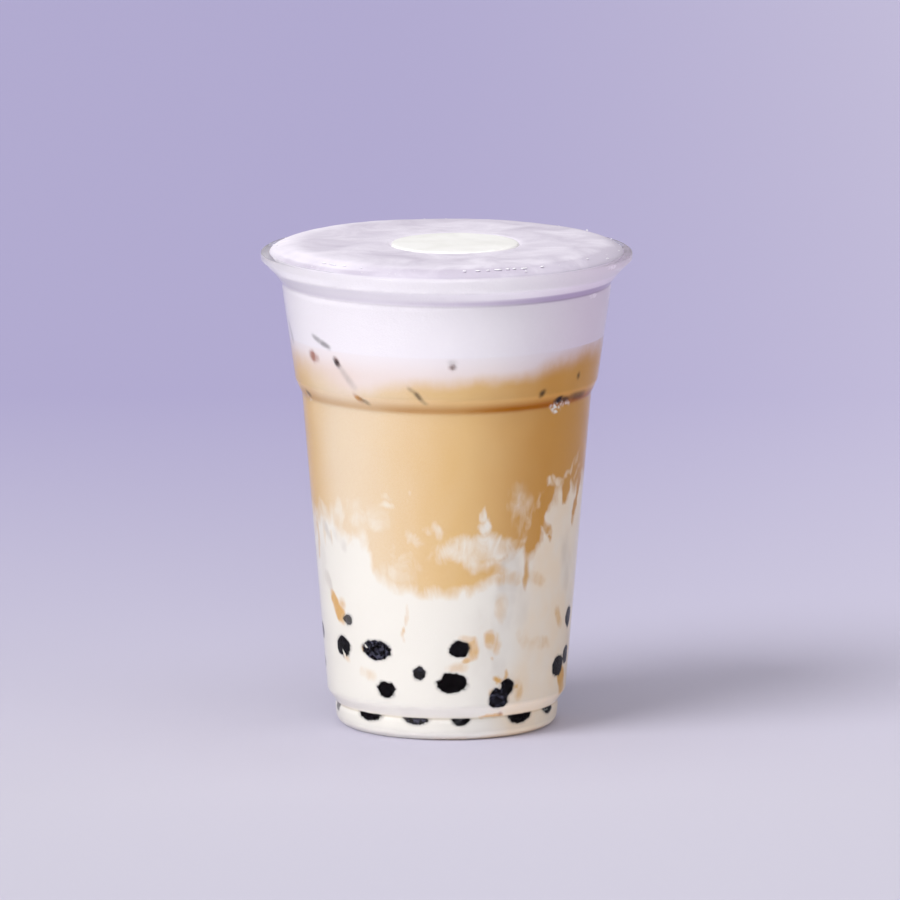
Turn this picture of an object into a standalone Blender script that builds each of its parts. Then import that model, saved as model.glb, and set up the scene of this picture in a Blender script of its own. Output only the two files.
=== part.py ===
"""Brown sugar milk tea in a clear plastic cup, as a set of closed solids.

The cup is turned from one outline: a rolled lip over a flared collar, two straight
tapers with a ledge between them, and a small foot with a recessed floor.  The drink
fills it in levels (milk, milk tea, a blended band and a domed foam cap), and each
level is turned from the cup's own inner outline, then waved where it meets the next.
A disc of cream is set in the foam.  Tapioca pearls lie in pockets of the milk and
press flat against the wall.

Units are metres, +Z is up, and the origin is the middle of the cup's foot.
"""
import math
from collections import namedtuple

import bmesh
import bpy
from mathutils import Matrix, Vector

# --- Driving dimensions ---------------------------------------------------------

CUP_HEIGHT = 0.1260
LIP_RADIUS = 0.0490
LIP_WIDTH = 0.0023
LIP_DEPTH = 0.0016
LIP_ROOT = 0.0040            # depth below the lip's top where the inside meets the wall
COLLAR_HEIGHT = 0.0080       # from the lip's top down to the crease under the collar
COLLAR_BEND = (0.0031, 0.0047)   # how far in from the lip and how far down it bends
CREASE_RADIUS = 0.04325
CREASE_DROP = 0.0012         # from the crease down to the head of the upper wall
UPPER_WALL_TOP = 0.0434      # radii of the two tapers at their ends
UPPER_WALL_FOOT = 0.03995
LOWER_WALL_TOP = 0.0382
LOWER_WALL_FOOT = 0.03155
LEDGE_TOP = 0.0926           # heights of the ledge between the tapers
LEDGE_FOOT = 0.0887
HEEL_TOP = 0.0094            # height where the lower taper turns in to the foot
HEEL_CREASE = 0.0061
HEEL_DENT = 0.0003           # how far the crease lies inside the foot
FOOT_RADIUS = 0.0295
FOOT_SHOULDER = 0.0010       # from the crease down to the foot's widest point
FOOT_TAPER = 0.0004          # how much narrower the foot is at the ground
RING_RADIUS = 0.0240         # inner edge of the ring that the cup stands on
RING_SLOPE = 0.0020          # width of the slope from the ring up to the floor
FLOOR_RECESS = 0.0015
WALL = 0.00045
GAP = 0.0003                 # clearance between touching pieces

# Roundings of the cup's corners, from the lip down to the floor.
LIP_ROUND = 0.0005
LIP_FOOT_ROUND = 0.0004
COLLAR_ROUND = 0.0080
CREASE_ROUND = 0.0006
WALL_HEAD_ROUND = 0.0010
LEDGE_TOP_ROUND = 0.0025
LEDGE_FOOT_ROUND = 0.0015
HEEL_ROUND = 0.0022
HEEL_CREASE_ROUND = 0.0004
SHOULDER_ROUND = 0.0011
FOOT_ROUND = 0.0030
RING_ROUND = 0.0011
FLOOR_ROUND = 0.0008

FOAM_LEVEL = 0.1043          # underside of the foam cap
BLEND_LEVEL = 0.0972         # mean underside of the blended band
MILK_LEVEL = 0.0540          # mean top of the milk
FOAM_RIM_RISE = 0.0002       # foam above the lip, at its rim and then at its middle
FOAM_DOME_RISE = 0.0024
FOAM_FLATNESS = 20           # the higher, the flatter the foam stays towards its rim
FOAM_SHARES = (0.0, 0.55, 0.88, 0.94, 0.975, 1.0)
FOAM_SIDE_FOOT = 0.0010      # least height of the foam's first row above its underside
CREAM_RADIUS = 0.0173
CREAM_CENTRE = (0.0022, -0.0024)
CREAM_RECESS = 0.0014        # how deep the cream disc sits in the foam
CREAM_PROUD = 0.0003
CREAM_ROUND = 0.0008
CREAM_FOOT_ROUND = 0.0004
SEAT_HEADROOM = 0.0020       # how far the seat's cutter stands above the cream

TURN_STEPS = 40
ARC_STEP = math.radians(46)   # turn of each facet of a rounded corner
MERGE_DISTANCE = 0.00002
LEVEL_TOLERANCE = 0.000001
SHARP_ANGLE = math.radians(40)
CREAM_STEPS = 24
PEARL_SUBDIVISIONS = 2
MILK_WALL_ROWS = (0.032, 0.021)
RING_SHARES = (0.0, 0.35, 0.7, 1.0)

# --- Waves and pearls -----------------------------------------------------------

# A swell of a level at the wall: centre angle and half width in degrees, and height.
# Angles run anticlockwise from the cup's front, which faces -Y.
Swell = namedtuple("Swell", "centre half_width height")
Level = namedtuple("Level", "mean swells")

FOAM_BASE = Level(FOAM_LEVEL, ())
BLEND_BASE = Level(BLEND_LEVEL, (
    Swell(-48, 45, -0.0020),
    Swell(62, 45, 0.0042),
    Swell(150, 50, -0.0018),
    Swell(-135, 45, 0.0024),
))
MILK_TOP = Level(MILK_LEVEL, (
    Swell(-5, 34, -0.0150),
    Swell(54, 30, 0.0070),
    Swell(118, 36, -0.0090),
    Swell(176, 40, 0.0040),
    Swell(-118, 44, -0.0080),
))

# Pearls that show at the wall: angle from the front in degrees, height and radius.
Pearl = namedtuple("Pearl", "angle height radius")
FRONT_PEARLS = (
    Pearl(-52, 0.0314, 0.0035),
    Pearl(-84, 0.0256, 0.0038),
    Pearl(-57.5, 0.0232, 0.0039),
    Pearl(-34.7, 0.0239, 0.0043),
    Pearl(-14, 0.0189, 0.0034),
    Pearl(6, 0.0253, 0.0040),
    Pearl(-30.3, 0.0136, 0.0038),
    Pearl(2.8, 0.0161, 0.0042),
    Pearl(24.8, 0.0110, 0.0037),
    Pearl(34.3, 0.0179, 0.0034),
    Pearl(75.5, 0.0296, 0.0038),
    Pearl(64.5, 0.0174, 0.0038),
    Pearl(82.5, 0.0192, 0.0036),
    Pearl(-86, 0.0165, 0.0037),
)
HEEL_ANGLES = (-78, -44, -16, 7.4, 41.5, 66)   # pearls in the angle of wall and floor
HEEL_PEARL_RADIUS = 0.0035
HEEL_PEARL_HEIGHT = 0.0068
BACK_PEARLS = 9
BACK_START = 102
BACK_STEP = 17
BACK_HEIGHTS = (0.0070, 0.0250, 0.0160)
BACK_RADIUS = 0.0037
PEARL_PRESS = 0.0005         # how far a pearl is flattened by the wall

# --- Colours: base colour, roughness ----------------------------------------------

CLEAR_PLASTIC = ((0.86, 0.86, 0.90, 1.0), 0.08)
FOAM_COLOUR = ((0.80, 0.74, 0.82, 1.0), 0.60)
BLEND_COLOUR = ((0.78, 0.65, 0.58, 1.0), 0.55)
TEA_COLOUR = ((0.72, 0.50, 0.30, 1.0), 0.45)
MILK_COLOUR = ((0.88, 0.84, 0.78, 1.0), 0.50)
CREAM_COLOUR = ((0.90, 0.89, 0.87, 1.0), 0.50)
PEARL_COLOUR = ((0.012, 0.010, 0.012, 1.0), 0.25)


# --- Outlines: lists of (radius, height), running top to bottom outside --------------

def rounded(corners):
    """Replace each corner of (radius, height, rounding) by an arc of that rounding."""
    points = [corners[0][:2]]
    for before, corner, after in zip(corners, corners[1:], corners[2:]):
        middle = Vector(corner[:2])
        rounding = corner[2]
        towards = (Vector(before[:2]) - middle).normalized()
        onwards = (Vector(after[:2]) - middle).normalized()
        half_angle = towards.angle(onwards) / 2
        reach = rounding / math.tan(half_angle)
        centre = middle + (towards + onwards).normalized() * rounding / math.sin(half_angle)
        start = middle + towards * reach - centre
        end = middle + onwards * reach - centre
        first = math.atan2(start.y, start.x)
        turn = (math.atan2(end.y, end.x) - first + math.pi) % math.tau - math.pi
        steps = math.ceil(abs(turn) / ARC_STEP)
        for step in range(steps + 1):
            angle = first + turn * step / steps
            points.append((centre.x + rounding * math.cos(angle),
                           centre.y + rounding * math.sin(angle)))
    return points + [corners[-1][:2]]


def inset(outline, distance):
    """Move an outline inwards by a distance, with mitred corners."""
    points = [Vector(point) for point in outline]
    normals = []
    for start, end in zip(points, points[1:]):
        along = (end - start).normalized()
        normals.append(Vector((along.y, -along.x)))
    moved = []
    for point, before, after in zip(points, normals[:1] + normals, normals + normals[-1:]):
        mean = (before + after) / 2
        moved.append(tuple(point + mean * distance / mean.length_squared))
    return moved


def cup_outline():
    """The outside of the cup, from the lip's inner edge down to the axis."""
    top = CUP_HEIGHT
    bend_in, bend_down = COLLAR_BEND
    crease = top - COLLAR_HEIGHT
    return rounded([
        (LIP_RADIUS - LIP_WIDTH, top),
        (LIP_RADIUS, top, LIP_ROUND),
        (LIP_RADIUS, top - LIP_DEPTH, LIP_FOOT_ROUND),
        (LIP_RADIUS - bend_in, top - bend_down, COLLAR_ROUND),
        (CREASE_RADIUS, crease, CREASE_ROUND),
        (UPPER_WALL_TOP, crease - CREASE_DROP, WALL_HEAD_ROUND),
        (UPPER_WALL_FOOT, LEDGE_TOP, LEDGE_TOP_ROUND),
        (LOWER_WALL_TOP, LEDGE_FOOT, LEDGE_FOOT_ROUND),
        (LOWER_WALL_FOOT, HEEL_TOP, HEEL_ROUND),
        (FOOT_RADIUS - HEEL_DENT, HEEL_CREASE, HEEL_CREASE_ROUND),
        (FOOT_RADIUS, HEEL_CREASE - FOOT_SHOULDER, SHOULDER_ROUND),
        (FOOT_RADIUS - FOOT_TAPER, 0.0, FOOT_ROUND),
        (RING_RADIUS, 0.0, RING_ROUND),
        (RING_RADIUS - RING_SLOPE, FLOOR_RECESS, FLOOR_ROUND),
        (0.0, FLOOR_RECESS),
    ])


def cup_inside():
    """The inside of the cup: straight down behind the lip, then along the wall."""
    root = CUP_HEIGHT - LIP_ROOT
    below_lip = [point for point in inset(cup_outline()[1:], WALL) if point[1] < root]
    return [(LIP_RADIUS - LIP_WIDTH, CUP_HEIGHT)] + below_lip


INSIDE = cup_inside()
FILL = inset(INSIDE, GAP)
FILL_SIDE = [point for point in FILL if point[0] > RING_RADIUS]


def fill_radius(height):
    """Radius of what fills the cup, at a height."""
    if height >= FILL_SIDE[0][1]:
        return FILL_SIDE[0][0]
    for (upper_r, upper_z), (lower_r, lower_z) in zip(FILL_SIDE, FILL_SIDE[1:]):
        if upper_z >= height > lower_z:
            share = (upper_z - height) / (upper_z - lower_z)
            return upper_r + share * (lower_r - upper_r)
    return FILL_SIDE[-1][0]


# --- Levels ---------------------------------------------------------------------------

def bell(angle, swell):
    """A cosine bell round a swell's centre, 1 in the middle and 0 outside its width."""
    off = (math.degrees(angle) - swell.centre + 180) % 360 - 180
    if abs(off) >= swell.half_width:
        return 0.0
    return 0.5 + 0.5 * math.cos(math.pi * off / swell.half_width)


def level_height(level, angle, share):
    """Height of a level at an angle, with swells that fade towards the axis."""
    swell = sum(bell(angle, swell) * swell.height for swell in level.swells)
    return level.mean + swell * share ** 2


def foam_height(share):
    """Height of the foam's top, from its middle (0) to its rim (1)."""
    return CUP_HEIGHT + FOAM_RIM_RISE + FOAM_DOME_RISE * (1 - share ** FOAM_FLATNESS)


# --- Making objects ---------------------------------------------------------------------

def new_material(name, colour, roughness):
    material = bpy.data.materials.new(name)
    material.use_nodes = True
    shader = material.node_tree.nodes["Principled BSDF"]
    shader.inputs["Base Color"].default_value = colour
    shader.inputs["Roughness"].default_value = roughness
    shader.inputs["Metallic"].default_value = 0.0
    material.diffuse_color = colour
    return material


def turned(name, outline, collection, steps=TURN_STEPS):
    """A solid turned about Z from an outline of (radius, height)."""
    mesh = bpy.data.meshes.new(name)
    points = [(radius, 0.0, height) for radius, height in outline]
    mesh.from_pydata(points, [(i, i + 1) for i in range(len(points) - 1)], [])
    solid = bpy.data.objects.new(name, mesh)
    collection.objects.link(solid)
    screw = solid.modifiers.new("turn", "SCREW")
    screw.axis = "Z"
    screw.steps = steps
    screw.render_steps = steps
    screw.use_merge_vertices = True
    screw.merge_threshold = MERGE_DISTANCE
    return solid


def applied(solid):
    """Give an object the mesh that its modifiers make."""
    depsgraph = bpy.context.evaluated_depsgraph_get()
    mesh = bpy.data.meshes.new_from_object(solid.evaluated_get(depsgraph))
    solid.modifiers.clear()
    solid.data = mesh
    return solid


def finish(solid, material):
    solid.data.materials.clear()
    solid.data.materials.append(material)
    if solid.modifiers:
        return
    solid.data.shade_smooth()
    solid.data.set_sharp_from_angle(angle=SHARP_ANGLE)


def subtract(solid, cutters):
    """Cut a collection of closed meshes out of a solid."""
    cut = solid.modifiers.new("pockets", "BOOLEAN")
    cut.operation = "DIFFERENCE"
    cut.operand_type = "COLLECTION"
    cut.collection = cutters
    cut.solver = "EXACT"


def face(level):
    """The outline of a flat level, from the axis to the wall."""
    radius = fill_radius(level.mean)
    return [(share * radius, level.mean) for share in RING_SHARES]


def wave(solid, levels):
    """Raise and lower the faces of a turned solid, and split its quads.

    The shorter diagonal is the same on both sides of a gap, so faces stay parallel.
    """
    cage = bmesh.new()
    cage.from_mesh(solid.data)
    for vertex in cage.verts:
        x, y, height = vertex.co
        for level in levels:
            if abs(height - level.mean) > LEVEL_TOLERANCE:
                continue
            reach = math.hypot(x, y)
            share = reach / fill_radius(height)
            raised = level_height(level, math.atan2(x, -y), share)
            stretch = fill_radius(raised) / fill_radius(height)
            vertex.co = (x * stretch, y * stretch, raised)
    bmesh.ops.triangulate(cage, faces=cage.faces, quad_method="SHORT_EDGE")
    cage.to_mesh(solid.data)
    cage.free()


def layer(name, top, bottom, collection):
    """One level of the drink between two waved faces, as wide as the cup inside."""
    side = [point for point in FILL_SIDE if bottom.mean < point[1] < top.mean]
    solid = applied(turned(name, face(top) + side + face(bottom)[::-1], collection))
    wave(solid, (top, bottom))
    return solid


def foam_cap(collection):
    """The foam from its level up past the lip, with a domed top."""
    rim = FILL_SIDE[0][0]
    dome = [(share * rim, foam_height(share)) for share in FOAM_SHARES]
    side = [point for point in FILL_SIDE if point[1] > FOAM_LEVEL + FOAM_SIDE_FOOT]
    foot = Level(FOAM_LEVEL + GAP, ())
    return turned("foam_cap", dome + side[1:] + face(foot)[::-1], collection)


def milk(collection):
    """The milk: a waved top over a foot that follows the cup's floor."""
    wall_rows = [(fill_radius(height), height) for height in MILK_WALL_ROWS]
    heel = [point for point in FILL if point[1] < MILK_WALL_ROWS[-1]]
    solid = applied(turned("milk", face(MILK_TOP) + wall_rows + heel, collection))
    wave(solid, (MILK_TOP,))
    return solid


def cream_spot(collection, cutters):
    """A disc of cream set in the foam, and the cutter for its seat."""
    top = foam_height(0.0) + CREAM_PROUD
    bottom = foam_height(0.0) - CREAM_RECESS
    outline = rounded([
        (0.0, top),
        (CREAM_RADIUS, top, CREAM_ROUND),
        (CREAM_RADIUS, bottom, CREAM_FOOT_ROUND),
        (0.0, bottom),
    ])
    disc = turned("cream_spot", outline, collection, CREAM_STEPS)
    disc.location = (*CREAM_CENTRE, 0.0)
    seat_radius = CREAM_RADIUS + GAP
    seat_outline = [
        (0.0, top + SEAT_HEADROOM),
        (seat_radius, top + SEAT_HEADROOM),
        (seat_radius, bottom - GAP),
        (0.0, bottom - GAP),
    ]
    seat = turned("cream_seat", seat_outline, cutters, CREAM_STEPS)
    seat.location = disc.location
    return disc


# --- Pearls ---------------------------------------------------------------------------------

def pearl_list():
    """Every pearl that shows at the wall: the front, the heel and the back."""
    heel = [Pearl(angle, HEEL_PEARL_HEIGHT, HEEL_PEARL_RADIUS) for angle in HEEL_ANGLES]
    back = []
    for index in range(BACK_PEARLS):
        height = BACK_HEIGHTS[index % len(BACK_HEIGHTS)]
        back.append(Pearl(BACK_START + BACK_STEP * index, height, BACK_RADIUS))
    return list(FRONT_PEARLS) + heel + back


def ball(name, centre, radius, collection):
    mesh = bpy.data.meshes.new(name)
    cage = bmesh.new()
    bmesh.ops.create_icosphere(cage, subdivisions=PEARL_SUBDIVISIONS, radius=radius,
                               matrix=Matrix.Translation(centre))
    cage.to_mesh(mesh)
    cage.free()
    solid = bpy.data.objects.new(name, mesh)
    collection.objects.link(solid)
    return solid


def pearl(name, place, collection, cutters):
    """A pearl pressed against the wall, and the pocket that it lies in."""
    angle = math.radians(place.angle)
    distance = fill_radius(place.height) + PEARL_PRESS - place.radius
    if place.height < HEEL_TOP:
        distance = fill_radius(HEEL_CREASE) + PEARL_PRESS - place.radius
    centre = Vector((distance * math.sin(angle), -distance * math.cos(angle), place.height))
    solid = ball(name, centre, place.radius, collection)
    for vertex in solid.data.vertices:
        x, y, height = vertex.co
        reach = math.hypot(x, y)
        limit = fill_radius(height)
        if reach > limit:
            vertex.co = (x * limit / reach, y * limit / reach, height)
    ball(name + "_pocket", centre, place.radius + GAP, cutters)
    return solid


# --- The whole drink ---------------------------------------------------------------------------

def new_collection(name, parent):
    collection = bpy.data.collections.new(name)
    parent.children.link(collection)
    return collection


def main():
    for stale in list(bpy.data.objects):
        bpy.data.objects.remove(stale, do_unlink=True)
    scene_collection = bpy.context.scene.collection
    drink = new_collection("brown_sugar_milk_tea", scene_collection)
    cutters = new_collection("cutters", scene_collection)
    pockets = new_collection("pearl_pockets", cutters)
    seats = new_collection("cream_seats", cutters)

    outside = cup_outline()
    cup = turned("cup", INSIDE[::-1] + outside[1:], drink)
    finish(cup, new_material("clear_plastic", *CLEAR_PLASTIC))

    milk_body = milk(drink)
    raised_milk = Level(MILK_TOP.mean + GAP, MILK_TOP.swells)
    raised_blend = Level(BLEND_BASE.mean + GAP, BLEND_BASE.swells)
    tea = layer("milk_tea", BLEND_BASE, raised_milk, drink)
    blend = layer("foam_blend", FOAM_BASE, raised_blend, drink)
    foam = foam_cap(drink)
    cream = cream_spot(drink, seats)

    pearl_material = new_material("tapioca", *PEARL_COLOUR)
    for number, place in enumerate(pearl_list(), start=1):
        solid = pearl(f"pearl_{number:02d}", place, drink, pockets)
        finish(solid, pearl_material)

    subtract(milk_body, pockets)
    subtract(foam, seats)
    finish(milk_body, new_material("milk", *MILK_COLOUR))
    finish(tea, new_material("milk_tea", *TEA_COLOUR))
    finish(blend, new_material("foam_blend", *BLEND_COLOUR))
    finish(foam, new_material("lavender_foam", *FOAM_COLOUR))
    finish(cream, new_material("cream", *CREAM_COLOUR))

    for cutter in list(pockets.objects) + list(seats.objects):
        cutter.hide_render = True
        cutter.display_type = "WIRE"


main()
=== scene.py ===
import math
import random
from collections import namedtuple

import bmesh
import bpy
import numpy as np
from bpy.props import FloatProperty, FloatVectorProperty, IntProperty, PointerProperty
from mathutils import Matrix, Vector, noise


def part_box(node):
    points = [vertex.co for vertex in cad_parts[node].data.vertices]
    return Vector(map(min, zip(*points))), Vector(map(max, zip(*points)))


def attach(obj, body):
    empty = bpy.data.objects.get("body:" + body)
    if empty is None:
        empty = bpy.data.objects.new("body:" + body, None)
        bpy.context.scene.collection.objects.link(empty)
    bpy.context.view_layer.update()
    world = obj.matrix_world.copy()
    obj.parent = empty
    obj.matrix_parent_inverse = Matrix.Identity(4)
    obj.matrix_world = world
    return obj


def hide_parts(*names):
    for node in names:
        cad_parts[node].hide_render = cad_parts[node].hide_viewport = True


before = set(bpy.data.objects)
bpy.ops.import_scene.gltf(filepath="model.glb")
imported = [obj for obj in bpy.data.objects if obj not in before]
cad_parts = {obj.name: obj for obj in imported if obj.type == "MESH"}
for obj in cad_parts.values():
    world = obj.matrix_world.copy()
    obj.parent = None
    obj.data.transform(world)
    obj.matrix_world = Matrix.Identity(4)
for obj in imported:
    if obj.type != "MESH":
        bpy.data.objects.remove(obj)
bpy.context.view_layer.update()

bl_info = {
    "name": "Brown sugar milk tea",
    "version": (1, 0, 0),
    "blender": (4, 5, 0),
    "location": "View3D > Sidebar > Milk tea",
    "description": "A clear cup of layered iced milk tea with foam, cream and pearls",
    "category": "Add Mesh",
}

# --- Sizes, in metres ------------------------------------------------------------------

LIP_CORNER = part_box("cup")[1]
LIP_RADIUS = LIP_CORNER.x
CUP_HEIGHT = LIP_CORNER.z
FOAM_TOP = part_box("foam_cap")[1].z
CREAM_LOW, CREAM_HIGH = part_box("cream_spot")
CREAM_RADIUS = (CREAM_HIGH.x - CREAM_LOW.x) / 2
CREAM_CENTRE = (CREAM_LOW + CREAM_HIGH) / 2
PEARL_NODES = sorted(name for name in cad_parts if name.startswith("pearl_"))

# The cup's turned form, as in the part.
LIP_WIDTH = 0.0023
LIP_DEPTH = 0.0016
LIP_ROOT = 0.0040
COLLAR_HEIGHT = 0.0080
COLLAR_BEND = (0.0031, 0.0047)
CREASE_RADIUS = 0.04325
CREASE_DROP = 0.0012
UPPER_WALL_TOP = 0.0434
UPPER_WALL_FOOT = 0.03995
LOWER_WALL_TOP = 0.0382
LOWER_WALL_FOOT = 0.03155
LEDGE_TOP = 0.0926
LEDGE_FOOT = 0.0887
HEEL_TOP = 0.0094
HEEL_CREASE = 0.0061
HEEL_DENT = 0.0003
FOOT_RADIUS = 0.0295
FOOT_SHOULDER = 0.0010
FOOT_TAPER = 0.0004
RING_RADIUS = 0.0240
RING_SLOPE = 0.0020
FLOOR_RECESS = 0.0015
WALL = 0.00045
REACH_INTO_WALL = 0.00008    # how far the drink reaches into the cup's wall

# Roundings of the cup's corners, from the lip down to the floor.
LIP_ROUND = 0.0005
LIP_FOOT_ROUND = 0.0004
COLLAR_ROUND = 0.0080
CREASE_ROUND = 0.0006
WALL_HEAD_ROUND = 0.0010
LEDGE_TOP_ROUND = 0.0025
LEDGE_FOOT_ROUND = 0.0015
HEEL_ROUND = 0.0022
HEEL_CREASE_ROUND = 0.0004
SHOULDER_ROUND = 0.0011
FOOT_ROUND = 0.0030
RING_ROUND = 0.0011
FLOOR_ROUND = 0.0008

# The foam's top: its rise above the lip at the rim, how far out it stays flat, its rings
# and how they crowd at the rim, how far it lies below the CAD's, the height of its drifts
# and the depth of the hollow for the cream.
FOAM_RIM_RISE = 0.0002
FOAM_FLATNESS = 20
FOAM_RINGS = 90
FOAM_CROWDING = 1.6
FOAM_FACETS = 400
FOAM_SINK = 0.00016
FOAM_SWELL = 0.00016
CREAM_HOLLOW = 0.0006

# The cream's disc: its rings and facets, the share of it that is the upper face, how much
# that is domed, its rounded edge, how unround it is and how far its face is grooved.
CREAM_RINGS = 30
CREAM_FACETS = 128
CREAM_FLAT = 0.94
CREAM_DOME = 0.00012
CREAM_EDGE_DROP = 0.0005
CREAM_EDGE_ROUND = 0.0009
CREAM_UNDERCUT = 0.0004
CREAM_WANDER = 0.012
CREAM_SINK = 0.00010

# The pearls: their mean size as a share of the CAD's, their lumps, and the zone at the
# wall over which a pearl is pressed to just past the milk's side.
PEARL_SIZE = 0.965
PEARL_LUMP = 0.035
LUMPS_PER_METRE = 450
PRESS_ZONE = 0.0007
PRESS_SOFT = 0.0004
PRESS_PAST = 0.00004

# The small bubbles, and the wet dashes on the foam's rim that are partly painted highlights: the
# least size and its spread, and the place as a share of the radius (for the bubbles, of how far
# in they lie) and its spread. Each wet dash has its angle in degrees and its length in
# millimetres.
BEAD_SIZE = (0.00012, 0.00020)
BEAD_PLACE = (0.012, 0.045)
DASH_SIZE = (0.00028, 0.00010)
DASH_PLACE = (0.948, 0.006)
BEAD_RISE = 0.45
BEAD_FLATNESS = 0.6
HIGHLIGHT_DASHES = (
    (-46, 1.6), (-42, 2.6), (-37, 1.2), (6, 1.0), (10.5, 1.6), (14, 1.0), (17.5, 2.4),
    (21, 1.2), (23.4, 1.0), (27, 2.2), (34, 1.2),
)

# --- The drink's levels: mean height and swells, in metres and degrees -------------------

Swell = namedtuple("Swell", "centre half_width height")
Level = namedtuple("Level", "mean swells")
FOAM_BASE = Level(0.1043, ())
BLEND_BASE = Level(0.0972, (
    Swell(-48, 45, -0.0020),
    Swell(62, 45, 0.0042),
    Swell(150, 50, -0.0018),
    Swell(-135, 45, 0.0024),
))
MILK_TOP = Level(0.0540, (
    Swell(-5, 34, -0.0150),
    Swell(54, 30, 0.0070),
    Swell(118, 36, -0.0090),
    Swell(176, 40, 0.0040),
    Swell(-118, 44, -0.0080),
))
HEEL_LEVEL = Level(0.0140, ())

# --- What shows at the wall: angles from the front in degrees, heights in millimetres ----

# Lines where one colour ends: the tea's lower edge and the foam's lower edge.
TEA_EDGE = (
    (-180, 56), (-150, 51), (-118, 46), (-98, 52), (-88, 56), (-80, 56.5), (-72, 57.3),
    (-62, 58.3), (-56, 58.3), (-53, 57), (-50, 54.8), (-44, 53.6), (-38, 53.2), (-36, 51),
    (-34, 48), (-32, 45), (-30, 43.5), (-26, 42.5), (-20, 41.4), (-8, 40.4), (6, 40.2),
    (14, 41.2), (19, 43), (22, 46), (26, 49), (32, 50.5), (38, 51.5), (42, 53.4),
    (45, 57), (47.5, 61), (50, 64.6), (54, 65.4), (60, 65.6), (68, 65.4), (76, 66),
    (84, 64), (98, 57), (118, 46), (146, 52), (168, 58),
)
FOAM_EDGE = (
    (-180, 97), (-135, 99.5), (-100, 98), (-84, 99), (-72, 99.2), (-62, 98.3), (-54, 96.3),
    (-46, 93.9), (-38, 93.2), (-31, 94.4), (-25, 95.6), (-18, 96.4), (0, 97.4), (21, 97.6),
    (30, 98.0), (37, 98.7), (44, 99.5), (52, 100.3), (64, 101.2), (80, 101.2),
    (98, 100), (120, 97.5), (150, 95.6),
)

# Heights of the faint line in the foam, the line of painted shade on the ledge, and the
# heel's and the collar's creases, where shade is painted too.
FOAM_LINE = 104.3
LEDGE_SHADE_LINE = 89.4
CREASE_LINE = 6.1
COLLAR_LINE = 118.7

# Soft strokes on the wall. A row has the angle and height of one end and of the other,
# the half widths at both and the width of the soft edge in millimetres, and the strength.
Stroke = namedtuple("Stroke", "angle height to_angle to_height width to_width soft strength")
END_TAPER = 0.40             # how much narrower a stroke is at its ends
END_FADE = 0.35              # how much fainter it is there
# Wisps of milk in the tea, and streaks of tea in the milk.
MILK_WISPS = (
    (-27.8, 63.8, -23.8, 63.4, 0.35, 0.45, 1.3, 0.62),
    (-26, 66.4, -24, 66.2, 0.3, 0.3, 1.4, 0.45),
    (-18, 66.4, -17, 65, 0.4, 0.3, 1.9, 0.22),
    (-52, 63.2, -55, 57, 0.4, 1.4, 2, 0.55),
    (-66, 60.5, -62, 56, 0.5, 1.2, 1.8, 0.6),
    (-76, 59.5, -74, 55.5, 0.4, 0.9, 1.8, 0.55),
    (-44, 58.2, -36, 59.4, 0.9, 0.5, 2, 0.42),
    (-39, 60.8, -35, 61.6, 0.3, 0.2, 1.6, 0.3),
    (-48, 60.4, -28, 61.8, 1.2, 1.6, 4, 0.16),
    (-37, 57.4, -27, 58.4, 0.6, 0.6, 2.4, 0.34),
    (-7, 57.8, -4, 57, 0.8, 0.6, 1.8, 0.48),
    (-16, 55.2, -12, 53.8, 0.6, 0.8, 2.2, 0.38),
    (-1, 51.6, 12, 51.8, 0.9, 1.9, 4, 0.72),
    (12, 51.6, 30, 51.4, 2, 1.9, 4, 0.8),
    (8, 49, 24, 48.6, 0.6, 1.7, 3.6, 0.64),
    (28, 49.6, 38, 48, 1.8, 2, 3.8, 0.8),
    (44.6, 66.6, 43, 58, 0.5, 0.9, 1.8, 0.55),
    (41, 60, 42, 54, 0.6, 0.8, 1.6, 0.52),
    (38, 62, 39, 56, 0.6, 0.6, 3, 0.3),
    (21, 46.6, 29, 45.4, 0.8, 1.4, 2.2, 0.6),
    (-9, 49.6, 0, 48.6, 0.5, 0.6, 2.2, 0.25),
    (16, 63.6, 15.2, 61, 0.05, 0.2, 0.9, 0.6),
    (16.6, 60.2, 17.2, 56.6, 0.5, 1, 1.5, 0.66),
    (31.5, 67, 36, 58, 1.2, 2, 4.5, 0.3),
    (46.4, 68.2, 49, 67.4, 0.7, 0.6, 1.3, 0.8),
    (51, 68.2, 56, 67.6, 0.5, 0.7, 1.3, 0.8),
    (57, 68.4, 61, 71, 0.35, 0.25, 1.1, 0.5),
    (62, 70.2, 66, 73.4, 0.3, 0.15, 1, 0.46),
    (66.5, 71.4, 71.5, 74.2, 0.25, 0.12, 1, 0.4),
    (68, 68.2, 73, 70.8, 0.3, 0.15, 1.1, 0.35),
    (-26, 46.4, -17, 44.6, 0.8, 1, 3.2, 0.5),
    (-22, 50, -15, 47.6, 0.6, 0.8, 3, 0.32),
)
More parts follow.
